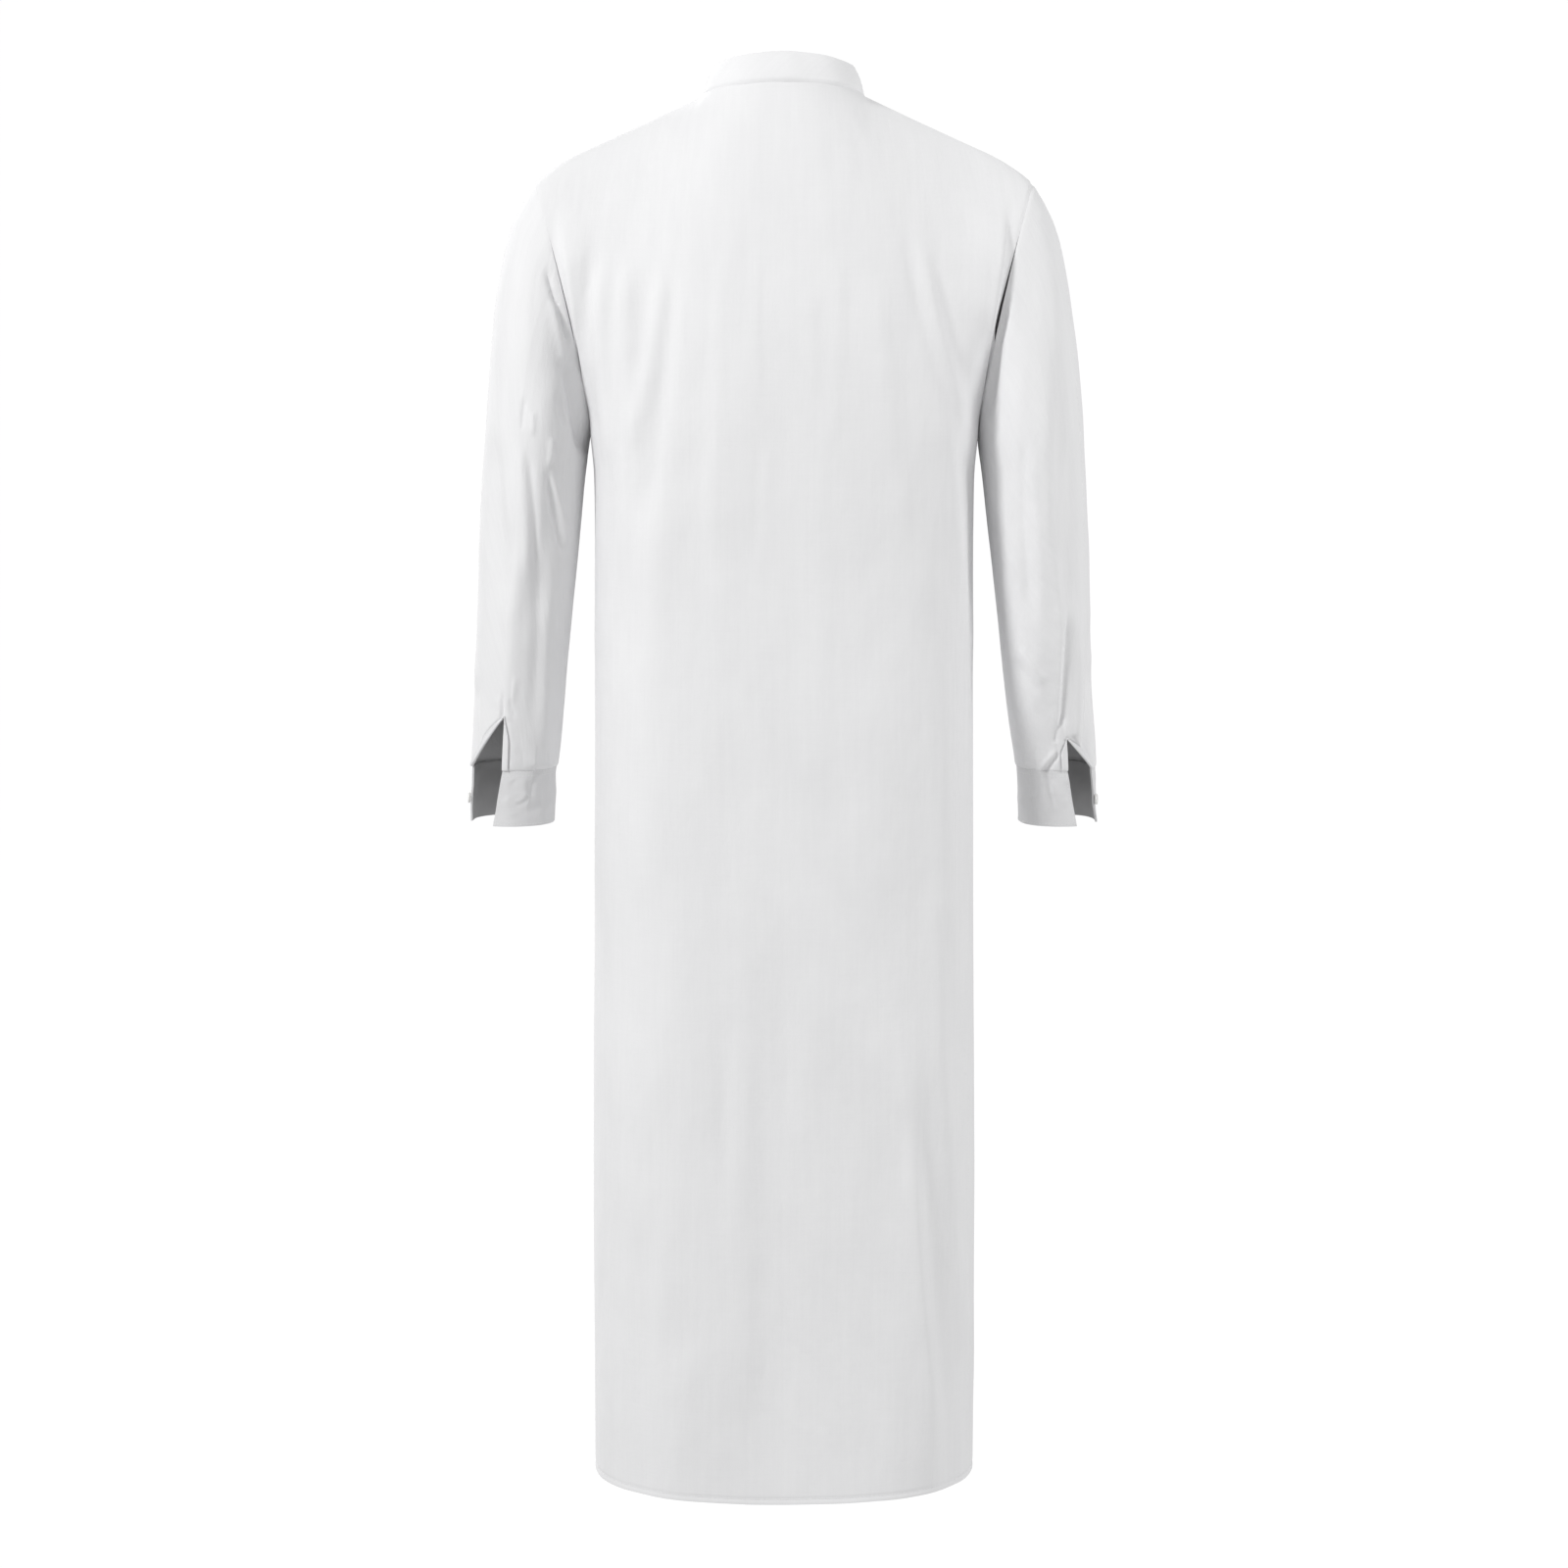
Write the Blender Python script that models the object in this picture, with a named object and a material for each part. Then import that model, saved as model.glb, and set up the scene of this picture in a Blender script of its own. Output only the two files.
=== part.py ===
"""A long white kaftan, worn: back and front panels, set-in sleeves with wrist slits, cuffs and a band collar.

Metres, +Z up. The front faces -Y, and the wearer's left is +X. The origin lies between the two neck points of
the shoulders, where the wearer carries the garment.
"""

import math

import bmesh
import bpy
import numpy as np
from mathutils import Vector

# Cloth
WALL = 0.0012  # body and sleeves
BAND_WALL = 0.0020  # collar and cuffs are folded cloth
STRIP_WALL = 0.0010  # bindings and the strip at the neck slit
SEAM_GAP = 0.0003
STRIP_GAP = 0.0007  # under a strip that lies on a panel, whose faces are flat between their points
LEAST_LEAN = 0.65  # limits how far a wall is drawn out where two pieces meet at a sharp angle
SHARP_ANGLE = 50  # edges bent by more degrees than this are shaded sharp

# Neck, shoulder and armhole
NECK_HALF = 0.0745
SHOULDER_X = 0.236
SHOULDER_Z = -0.084
SHOULDER_SLOPE = 0.462  # fall for each metre outward, before the shoulder rounds off
ROUNDING_X = 0.190  # where the shoulder starts to round off
UNDERARM_X = 0.183
UNDERARM_Z = -0.319
ARMHOLE_DEPTH = 0.062  # half the armhole, front to back
ARMHOLE_CURVE = 1.3  # how the armhole hollows in below the shoulder
ARMHOLE_HOLLOW = 0.30  # worn cloth sinks in under the arm: by this share of the armhole's depth
HOLLOW_ANGLE = 50  # where it sinks in most, in degrees from the underarm
HOLLOW_WIDTH = 38

# The fold that stands beside the armhole, where the cloth has room to spare
CREST_OUT = 0.0025  # how far its crest leans out over the seam
CREST_UP = {"back": 0.014, "front": 0.009}  # how far it stands off
CREST_LOW, CREST_HIGH = 0.945, 0.885  # its place across the panel, low and high on the armhole
CREST_WIDTH = 0.085
CREST_SEAM = (0.95, 1.0)  # it has come down where the panel meets the sleeve
# Between which heights on the armhole it moves inward, rises and falls
CREST_MOVES = (0.50, 0.85)
LEAN_RISES, LEAN_FALLS = (0.0, 0.15), (0.37, 0.62)
CREST_RISES, CREST_FALLS = (0.02, 0.27), (0.57, 0.97)

# Hem
HEM_SIDE_Z = -1.297
SQUARENESS = 2.4  # of the body's sections: 2 is an ellipse

# The body's sections, from the underarm down to the hem
BODY_COLUMNS = ("z", "half_width", "back_depth", "front_depth")
BODY_ROWS = (
    (-0.319, 0.1830, 0.126, 0.124),
    (-0.360, 0.1800, 0.126, 0.127),
    (-0.460, 0.1790, 0.124, 0.130),
    (-0.620, 0.1790, 0.127, 0.132),
    (-0.820, 0.1795, 0.131, 0.133),
    (-1.060, 0.1800, 0.136, 0.136),
    (-1.297, 0.1785, 0.140, 0.139),
)

# What differs between the two panels. Depths and heights are those of the neck's lowest point, and the drop
# is how far the hem's middle hangs below its sides.
FACES = {
    "back": {"sign": 1, "neck_depth": 0.065, "neck_z": 0.005, "neck_bow": 1.0, "hem_drop": 0.017},
    "front": {"sign": -1, "neck_depth": 0.070, "neck_z": -0.055, "neck_bow": 1.2, "hem_drop": 0.012},
}
RIDGE_HEIGHT_POWER = 2.6  # how the shoulder's roof rounds over, seen from the side
RIDGE_ROUNDING = 0.75
NECK_HEIGHT_POWER = 2.2
INNER_CURVE = 2.0  # how the columns between the armholes run inward, more evenly than the armhole
INNER_SPREAD = 4
SOFTENINGS = 4  # passes that even out the line below each corner of the neck
SOFT_STEP = 0.9
SOFT_SIDE = (0.55, 0.80)  # they fade out between these columns
SOFT_FOOT, SOFT_TOP = (1.0, 1.25), (1.68, 1.90)  # and they set in and fade out between these rows
EDGE_POWER = 6  # how late a panel turns in towards the armhole
UNDERARM_POWER = 50  # and how much later close to the underarm
UNDERARM_SHARE = 0.22  # of the armhole's height

# Every fold eases in and out over this part of its line, half of it beyond the line's end
FOLD_EASE = 0.30
SIDE_FADE_POWER = 10  # folds fade only close to a panel's side seams
TOP_FADE = 3  # and over the last third of its upper rows

# The largest folds of the panels: the line of each, the width from its crest to its foot, and its height
FOLD_COLUMNS = ("x_top", "z_top", "x_bottom", "z_bottom", "width", "height")
FOLDS = {
    "back": (
        (0.196, -0.140, 0.166, -0.330, 0.020, 0.0040),
        (0.160, -0.165, 0.120, -0.480, 0.030, 0.0030),
        (0.118, -0.180, 0.150, -0.520, 0.020, -0.0030),
        (-0.196, -0.120, -0.168, -0.330, 0.020, 0.0040),
        (-0.126, -0.165, -0.166, -0.430, 0.022, 0.0030),
        (0.040, -0.200, 0.050, -0.420, 0.030, 0.0025),
        (0.056, -0.700, 0.050, -1.240, 0.028, 0.0045),
        (0.010, -0.820, 0.004, -1.260, 0.028, -0.0040),
        (-0.116, -0.900, -0.136, -1.300, 0.026, 0.0045),
        (-0.075, -0.760, -0.080, -1.300, 0.026, -0.0035),
        (0.128, -0.860, 0.122, -1.300, 0.028, 0.0035),
    ),
    "front": (
        (0.190, -0.130, 0.150, -0.340, 0.022, 0.0040),
        (-0.190, -0.130, -0.154, -0.360, 0.022, 0.0040),
        (0.110, -0.150, 0.062, -0.430, 0.026, 0.0030),
        (-0.105, -0.160, -0.066, -0.400, 0.026, 0.0030),
        (0.064, -0.560, 0.074, -1.300, 0.030, 0.0045),
        (-0.058, -0.640, -0.048, -1.300, 0.030, 0.0040),
        (0.006, -0.700, 0.014, -1.300, 0.028, -0.0040),
        (-0.122, -0.760, -0.130, -1.300, 0.026, 0.0035),
        (0.132, -0.800, 0.128, -1.300, 0.028, 0.0030),
    ),
}

# Grid of a panel: columns across half of it, those of them at the neck, and rows below and above the underarm
HALF_COLUMNS = 13
NECK_COLUMNS = 5
LOWER_ROWS = 17
UPPER_ROWS = 14

# Neck slit of the front and what closes it
SLIT_HALF_GAP = 0.0012
PLACKET_WIDTH = 0.030
PLACKET_END = 0.984  # row of its lower end, just below the slit
PLACKET_TOP = 1.990
BUTTON_RADIUS = 0.0058
BUTTON_HEIGHT = 0.0024
BUTTON_ROWS = (1.15, 1.37, 1.58, 1.80)

# Collar: its height and how far its top stands in from the neck seam, at the back, side and front
COLLAR_RISE = {"back": 0.0262, "side": 0.0232, "front": 0.0240}
COLLAR_LEAN = {"back": 0.0100, "side": 0.0090, "front": 0.0080}
COLLAR_SWELL = 0.0010
COLLAR_END_GAP = 0.0020  # half the gap between its ends
COLLAR_COLUMNS = 40
COLLAR_ROWS = 3

# The sleeve's sections, from the armhole down to the cuff's seam: their middle, their half width, how far the
# outer point lies above the middle, their half depth, and the fall of each metre backward
SLEEVE_COLUMNS = ("middle_z", "middle_x", "half_width", "outer_rise", "half_depth", "middle_y", "back_fall")
SLEEVE_ROWS = (
    (-0.2015, 0.2095, 0.0265, 0.1175, 0.0620, 0.0000, 0.00),
    (-0.2290, 0.2205, 0.0355, 0.1070, 0.0660, 0.0000, 0.00),
    (-0.2655, 0.2285, 0.0405, 0.0945, 0.0700, 0.0000, 0.00),
    (-0.3115, 0.2340, 0.0425, 0.0835, 0.0715, -0.0010, 0.00),
    (-0.3625, 0.2388, 0.0428, 0.0745, 0.0710, -0.0030, 0.01),
    (-0.4185, 0.2432, 0.0428, 0.0635, 0.0690, -0.0070, 0.03),
    (-0.4765, 0.2471, 0.0423, 0.0515, 0.0650, -0.0120, 0.05),
    (-0.5335, 0.2505, 0.0420, 0.0385, 0.0590, -0.0190, 0.08),
    (-0.5850, 0.2543, 0.0417, 0.0230, 0.0510, -0.0270, 0.11),
    (-0.6360, 0.2579, 0.0414, 0.0000, 0.0430, -0.0350, 0.14),
)
CUFF_HEIGHT = 0.0525
CUFF_PARTS = (0.0, 0.33, 0.67, 1.0)  # rings of the cuff
CUFF_END = {"middle_x": 0.2600, "half_width": 0.0405, "half_depth": 0.0425, "middle_y": -0.0400}
SLEEVE_STEPS = 14  # rings from the armhole to the slit's top
SLIT_STEPS = 4  # rings from the slit's top to the cuff
SLIT_ROW = 8  # row of the armhole that the slit lies below
PLEAT_COLUMNS = (4.25, 6.25)
PLEAT_STEP = 0.25
PLEAT_HEIGHT = 0.0022
PLEAT_LENGTH = 0.040
PLEAT_FOOT = 0.010  # the pleat flattens into the seam over this length
PLEAT_FOOT_SHARE = 0.2  # of its height that is left there
PLEAT_REACH = 2  # columns over which it slopes away
BINDING_WIDTH = 0.0052

# What differs between the sleeves: side of the body, top of the slit, how wide the slit and the cuff stand
# open in degrees, how far the cuff's near end turns, and how much narrower the wrist is
SLEEVES = {
    "left": {"side": 1, "slit_z": -0.581, "open_seam": 68, "open_end": 62, "turn": 11, "narrowing": 0.0},
    "right": {"side": -1, "slit_z": -0.604, "open_seam": 46, "open_end": 53, "turn": 11, "narrowing": 0.0025},
}

# The sleeves' largest folds: middle angle, top, bottom, lean in degrees, width in degrees and height
SLEEVE_FOLD_COLUMNS = ("angle", "z_top", "z_bottom", "lean", "width", "height")
SLEEVE_FOLDS = (
    (120, -0.340, -0.480, -25, 16, -0.0035),
    (62, -0.350, -0.500, 25, 18, -0.0030),
    (92, -0.300, -0.560, 8, 22, 0.0030),
    (250, -0.330, -0.500, 30, 20, -0.0035),
    (300, -0.300, -0.440, -20, 20, 0.0030),
)

WHITE_CLOTH = (0.80, 0.80, 0.81, 1.0)
WHITE_BAND = (0.83, 0.83, 0.84, 1.0)
PEARL = (0.86, 0.86, 0.85, 1.0)


def column(columns, rows, name, at):
    """Reads one column of a table at a place along its first column, on a curve through the rows."""
    places = [row[0] for row in rows]
    values = [row[columns.index(name)] for row in rows]
    if places[0] > places[-1]:
        places.reverse()
        values.reverse()
    at = min(max(at, places[0]), places[-1])
    last = len(places) - 1
    low = min(max(np.searchsorted(places, at) - 1, 0), last - 1)

    def slope(number):
        before, after = max(number - 1, 0), min(number + 1, last)
        return (values[after] - values[before]) / (places[after] - places[before])

    span = places[low + 1] - places[low]
    part = (at - places[low]) / span
    rise = values[low + 1] - values[low]
    start, end = slope(low) * span, slope(low + 1) * span
    bend = part * (1 - part) * (start * (1 - part) - end * part)
    ease = part * part * (3 - 2 * part)
    return float(values[low] + rise * ease + bend)


def mix(start, end, part):
    return start + (end - start) * part


def smooth(part):
    part = min(max(part, 0.0), 1.0)
    return part * part * (3 - 2 * part)


def ease(at, span):
    """0 before the span, 1 beyond it."""
    return smooth((at - span[0]) / (span[1] - span[0]))


def between(part):
    """1 along the middle of a line, easing to 0 at and beyond both of its ends."""
    return smooth(part / FOLD_EASE + 0.5) * smooth((1 - part) / FOLD_EASE + 0.5)


def bump(distance, width):
    """A soft hill, 1 at its middle."""
    return math.exp(-((distance / width) ** 2))


# Neck, shoulder and armhole lines


def neck_point(angle):
    """The neck seam: angle 0 is the middle of the back, and half a turn the middle of the front."""
    face = FACES["back"] if math.cos(angle) > 0 else FACES["front"]
    to_middle = abs(math.cos(angle))
    x = NECK_HALF * math.sin(angle)
    y = face["sign"] * face["neck_depth"] * to_middle
    z = face["neck_z"] * to_middle ** face["neck_bow"]
    return np.array((x, y, z))


def neck_chord_point(angle):
    """The neck seam as the panels have it, straight between the ends of their columns."""
    step = math.pi / 2 / NECK_COLUMNS
    low = math.floor(angle / step)
    return mix(neck_point(low * step), neck_point((low + 1) * step), angle / step - low)


def shoulder_z(x):
    straight = -SHOULDER_SLOPE * (x - NECK_HALF)
    end = -SHOULDER_SLOPE * (SHOULDER_X - NECK_HALF)
    rounding = max(x - ROUNDING_X, 0.0) / (SHOULDER_X - ROUNDING_X)
    return straight + (SHOULDER_Z - end) * rounding**2


def armhole_y(angle):
    """Half the armhole's depth at an angle: positive over the back, negative over the front."""
    turned = math.degrees(math.acos(min(max(math.cos(angle), -1.0), 1.0)))
    return ARMHOLE_DEPTH * math.sin(angle) * (1 - ARMHOLE_HOLLOW * bump(turned - HOLLOW_ANGLE, HOLLOW_WIDTH))


def armhole_point(angle):
    """The left armhole: angle 0 is the underarm, a quarter turn the back and half a turn the shoulder."""
    height = (1 - math.cos(angle)) / 2
    x = mix(UNDERARM_X, SHOULDER_X, height**ARMHOLE_CURVE)
    z = mix(UNDERARM_Z, SHOULDER_Z, height)
    return np.array((x, armhole_y(angle), z))


def top_point(face, u):
    """The top edge of a panel: the neck in its middle and a shoulder on each side."""
    neck_share = NECK_COLUMNS / HALF_COLUMNS
    if abs(u) <= neck_share:
        to_side = abs(u) / neck_share * math.pi / 2
        angle = to_side if face["sign"] > 0 else math.pi - to_side
        x, y, z = neck_point(angle)
        return np.array((math.copysign(x, u) if u else 0.0, y, z))
    outward = (abs(u) - neck_share) / (1 - neck_share)
    x = mix(NECK_HALF, SHOULDER_X, outward)
    return np.array((math.copysign(x, u), 0.0, shoulder_z(x)))


# Body panels


def section_point(face, u, z):
    """A level section of the body, from the middle of a panel (u = 0) to its side seam (u = 1 or -1)."""
    half_width = column(BODY_COLUMNS, BODY_ROWS, "half_width", z)
    depth_name = "back_depth" if face["sign"] > 0 else "front_depth"
    depth = column(BODY_COLUMNS, BODY_ROWS, depth_name, z)
    turn = abs(u) * math.pi / 2
    x = half_width * math.sin(turn) ** (2 / SQUARENESS)
    y = depth * max(math.cos(turn), 0.0) ** (2 / SQUARENESS)
    return math.copysign(x, u) if u else 0.0, y


def crest_shift(name, u, v):
    """How the fold beside the armhole moves a point: outward, and away from the body."""
    if v <= 1:
        return np.zeros(3)
    height = (1 - math.cos((v - 1) * math.pi)) / 2
    place = mix(CREST_LOW, CREST_HIGH, ease(height, CREST_MOVES))
    crest = bump(abs(u) - place, CREST_WIDTH) * (1 - ease(abs(u), CREST_SEAM))
    outward = CREST_OUT * crest * ease(height, LEAN_RISES) * (1 - ease(height, LEAN_FALLS))
    away = CREST_UP[name] * crest * ease(height, CREST_RISES) * (1 - ease(height, CREST_FALLS))
    return np.array((math.copysign(outward, u), FACES[name]["sign"] * away, 0.0))


def panel_point(face, u, v):
    """A point of a panel: v is 0 at the hem, 1 at the underarm and 2 at the neck and shoulders."""
    sign = face["sign"]
    if v <= 1:
        line_z = mix(HEM_SIDE_Z, UNDERARM_Z, v)
        x, y = section_point(face, u, line_z)
        z = line_z - face["hem_drop"] * math.cos(u * math.pi / 2) * (1 - v)
        return np.array((x, sign * (y + SEAM_GAP / 2), z))
    angle = (v - 1) * math.pi
    height = (1 - math.cos(angle)) / 2
    low_x, low_y = section_point(face, u, UNDERARM_Z)
    top = top_point(face, u)
    x = mix(low_x, top[0], height ** mix(INNER_CURVE, ARMHOLE_CURVE, abs(u) ** INNER_SPREAD))
    z = mix(UNDERARM_Z, top[2], height)
    to_shoulder = smooth(abs(u) * HALF_COLUMNS / NECK_COLUMNS)
    power = mix(NECK_HEIGHT_POWER, RIDGE_HEIGHT_POWER, to_shoulder)
    rounding = mix(1.0, RIDGE_ROUNDING, to_shoulder)
    falling = max(1 - height**power, 0.0) ** rounding
    y = mix(abs(top[1]), low_y, falling)
    power = EDGE_POWER + UNDERARM_POWER * (1 - smooth(height / UNDERARM_SHARE))
    y += abs(u) ** power * abs(armhole_y(angle))
    return np.array((x, sign * (y + SEAM_GAP / 2), z))


def soften(grid, us, vs):
    """Evens out the line that would run down from each corner of the neck. The panel's edges stay."""
    for _ in range(SOFTENINGS):
        before = grid.copy()
        for row in range(1, len(vs) - 1):
            for place in range(1, len(us) - 1):
                share = ease(vs[row], SOFT_FOOT) * (1 - ease(vs[row], SOFT_TOP))
                share *= 1 - ease(abs(us[place]), SOFT_SIDE)
                middle = (before[row, place - 1] + before[row, place + 1]) / 2
                grid[row, place] += (middle - before[row, place]) * share * SOFT_STEP


def fold_height(rows, x, z):
    height = 0.0
    for x_top, z_top, x_bottom, z_bottom, width, rise in rows:
        part = (z_top - z) / (z_top - z_bottom)
        across = (x - mix(x_top, x_bottom, part)) / width
        height += rise * math.exp(-across * across) * between(part)
    return height


def panel_grid(name):
    """The outer points of a panel with its folds, row by row from the hem."""
    face = FACES[name]
    us = [number / HALF_COLUMNS for number in range(-HALF_COLUMNS, HALF_COLUMNS + 1)]
    lower = [number / LOWER_ROWS for number in range(LOWER_ROWS)]
    vs = lower + [1 + number / UPPER_ROWS for number in range(UPPER_ROWS + 1)]
    grid = np.array([[panel_point(FACES[name], u, v) for u in us] for v in vs])
    soften(grid, us, vs)
    grid += np.array([[crest_shift(name, u, v) for u in us] for v in vs])
    out = grid_normals(grid, face["sign"])
    for row, v in enumerate(vs):
        top_fade = smooth((2 - v) * TOP_FADE)
        for place, u in enumerate(us):
            x, _, z = grid[row, place]
            side_fade = 1 - abs(u) ** SIDE_FADE_POWER
            grid[row, place] += out[row, place] * fold_height(FOLDS[name], x, z) * top_fade * side_fade
    return grid


# Sheets and walls


def weld(grid):
    """Numbers the points of a grid. Points at one place share a number."""
    numbers, points = {}, []
    index = np.zeros(grid.shape[:2], int)
    for place in np.ndindex(index.shape):
        key = tuple(np.round(grid[place], 7))
        if key not in numbers:
            numbers[key] = len(points)
            points.append(grid[place])
        index[place] = numbers[key]
    return np.array(points), index


def grid_faces(index, open_column=None):
    """The faces between the points of a grid. An open column is a slit."""
    faces = []
    for row in range(index.shape[0] - 1):
        for place in range(index.shape[1] - 1):
            if place == open_column:
                continue
            corners = (
                index[row, place],
                index[row, place + 1],
                index[row + 1, place + 1],
                index[row + 1, place],
            )
            corners = list(dict.fromkeys(int(corner) for corner in corners))
            if len(corners) > 2:
                faces.append(corners)
    return faces


def grid_normals(grid, sign, open_column=None):
    """The way out of a sheet at each point of its grid."""
    points, index = weld(grid)
    normals = np.zeros_like(points)
    for corners in grid_faces(index, open_column):
        a, b, c, d = (points[corners[number % len(corners)]] for number in range(4))
        normal = np.cross(c - a, d - b) if len(corners) == 4 else np.cross(b - a, c - a)
        for corner in corners:
            normals[corner] += normal
    normals *= -sign / np.linalg.norm(normals, axis=1, keepdims=True)
    return normals[index]


def into_plane(vectors, axis=1):
    """Turns directions into the plane of a seam, so that both pieces end on it face to face."""
    flat = np.array(vectors)
    flat[..., axis] = 0
    return flat / np.linalg.norm(flat, axis=-1, keepdims=True)


def seam_direction(one, other):
    """The way out at a seam where two pieces meet at an angle, long enough to keep their walls' thickness."""
    middle = one + other
    middle /= np.linalg.norm(middle, axis=-1, keepdims=True)
    lean = np.sum(middle * one, axis=-1, keepdims=True)
    return middle / np.maximum(lean, LEAST_LEAN)


def add_wall(name, grid, out, wall, material, open_column=None):
    """A closed solid: the sheet's outer points, the same points moved in by the wall, and the rims."""
    _, index = weld(grid)
    faces = grid_faces(index, open_column)
    count = index.max() + 1
    outer, inner = np.zeros((count, 3)), np.zeros((count, 3))
    for place in np.ndindex(index.shape):
        outer[index[place]] = grid[place]
        inner[index[place]] = grid[place] - out[place] * wall
    uses = {}
    for corners in faces:
        for start, end in zip(corners, corners[1:] + corners[:1]):
            uses.setdefault(frozenset((start, end)), []).append((start, end))
    rims = [ends[0] for ends in uses.values() if len(ends) == 1]
    solid = [tuple(corners) for corners in faces]
    solid += [tuple(corner + count for corner in reversed(corners)) for corners in faces]
    solid += [(end, start, start + count, end + count) for start, end in rims]
    mesh = bpy.data.meshes.new(name)
    mesh.from_pydata([tuple(point) for point in np.vstack((outer, inner))], [], solid)
    return add_object(name, mesh, material)


def add_object(name, mesh, material):
    form = bmesh.new()
    form.from_mesh(mesh)
    loose = [vert for vert in form.verts if not vert.link_faces]
    bmesh.ops.delete(form, geom=loose, context="VERTS")
    bmesh.ops.recalc_face_normals(form, faces=form.faces)
    form.to_mesh(mesh)
    form.free()
    mesh.materials.append(material)
    mesh.shade_smooth()
    mesh.set_sharp_from_angle(angle=math.radians(SHARP_ANGLE))
    piece = bpy.data.objects.new(name, mesh)
    bpy.context.collection.objects.link(piece)
    return piece


def add_material(name, colour, roughness):
    material = bpy.data.materials.new(name)
    material.use_nodes = True
    shader = material.node_tree.nodes["Principled BSDF"]
    shader.inputs["Base Color"].default_value = colour
    shader.inputs["Roughness"].default_value = roughness
    shader.inputs["Metallic"].default_value = 0.0
    return material


# Sleeves and cuffs


def slit_angles(sleeve, part):
    """The angles of the slit's near and far edge, at a part of the way from its top to the cuff's seam."""
    near = math.pi * SLIT_ROW / UPPER_ROWS
    opening = math.radians(sleeve["open_seam"]) * max(part, 0.0) ** 0.9
    return near, near + opening - 2 * math.pi


def sleeve_columns():
    """The columns round a sleeve: one for each point of the armhole, and two at each pleat."""
    columns = list(range(2 * UPPER_ROWS + 1))
    for pleat in PLEAT_COLUMNS:
        columns += [pleat, pleat + PLEAT_STEP]
    return sorted(columns)


def ring_point(middle_z, angle, narrowing=0.0):
    """A point of the left sleeve's plain form, on the ring with its middle at a height."""
    size = {name: column(SLEEVE_COLUMNS, SLEEVE_ROWS, name, middle_z) for name in SLEEVE_COLUMNS[1:]}
    wrist = smooth((UNDERARM_Z - middle_z) / (UNDERARM_Z - SLEEVE_ROWS[-1][0]))
    half_width = size["half_width"] - narrowing * wrist
    x = size["middle_x"] + narrowing * wrist - half_width * math.cos(angle)
    back = size["half_depth"] * math.sin(angle)
    z = middle_z - size["outer_rise"] * math.cos(angle) - size["back_fall"] * back
    return np.array((x, size["middle_y"] + back, z))


def sleeve_fold_height(angle, z):
    """The height of the sleeve's folds at an angle in degrees and at a height."""
    height = 0.0
    for middle, z_top, z_bottom, lean, width, rise in SLEEVE_FOLDS:
        part = (z_top - z) / (z_top - z_bottom)
        across = (angle % 360 - middle - lean * (part - 0.5)) / width
        height += rise * math.exp(-across * across) * between(part)
    return height


def pleat_height(place, above_seam):
    """A pleat is a step at its fold and slopes away behind it, and it flattens into the seam."""
    fade = mix(PLEAT_FOOT_SHARE, 1, smooth(above_seam / PLEAT_FOOT))
    fade *= 1 - smooth(above_seam / PLEAT_LENGTH)
    height = 0.0
    for pleat in PLEAT_COLUMNS:
        behind = pleat - place
        if -PLEAT_STEP / 2 < behind < PLEAT_REACH:
            height += PLEAT_HEIGHT * (1 - max(behind, 0.0) / PLEAT_REACH)
    return height * fade


def sleeve_grid(sleeve):
    """The left sleeve's outer points, ring by ring from the armhole, starting at the slit's near edge."""
    seam_z = SLEEVE_ROWS[-1][0]
    start_z = SLEEVE_ROWS[0][0]
    heights = [mix(start_z, sleeve["slit_z"], number / SLEEVE_STEPS) for number in range(SLEEVE_STEPS)]
    heights += [mix(sleeve["slit_z"], seam_z, number / SLIT_STEPS) for number in range(SLIT_STEPS + 1)]
    columns = sleeve_columns()
    count = 2 * UPPER_ROWS
    grid = np.zeros((len(heights), len(columns), 3))
    for row, middle_z in enumerate(heights):
        part = (sleeve["slit_z"] - middle_z) / (sleeve["slit_z"] - seam_z)
        near, far = slit_angles(sleeve, part)
        fade = max(1 - (start_z - middle_z) / (start_z - UNDERARM_Z), 0.0) ** 2
        for place, number in enumerate(columns):
            angle = mix(near, far, number / count)
            low = math.floor(min(number, count - 1))
            ends = [armhole_point(mix(near, far, step / count)) for step in (low, low + 1)]
            seam = mix(ends[0], ends[1], number - low)
            plain = ring_point(start_z, angle, sleeve["narrowing"])
            grid[row, place] = ring_point(middle_z, angle, sleeve["narrowing"]) + (seam - plain) * fade
        if middle_z <= sleeve["slit_z"] + 1e-9 and part > 0:
            continue
        grid[row, -1] = grid[row, 0]
    out = grid_normals(grid, 1)
    for row, middle_z in enumerate(heights):
        part = (sleeve["slit_z"] - middle_z) / (sleeve["slit_z"] - seam_z)
        near, far = slit_angles(sleeve, part)
        for place, number in enumerate(columns):
            angle = math.degrees(mix(near, far, number / count))
            z = grid[row, place, 2]
            height = sleeve_fold_height(angle, z) * smooth((start_z - middle_z) / 0.05)
            if part > 0:
                height *= smooth(min(number, count - number) / 2)
            height += pleat_height(number, middle_z - seam_z)
            grid[row, place] += out[row, place] * height
    across = np.array((SHOULDER_Z - UNDERARM_Z, 0, UNDERARM_X - SHOULDER_X))
    grid[0] += across / np.linalg.norm(across) * SEAM_GAP
    return grid


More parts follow.
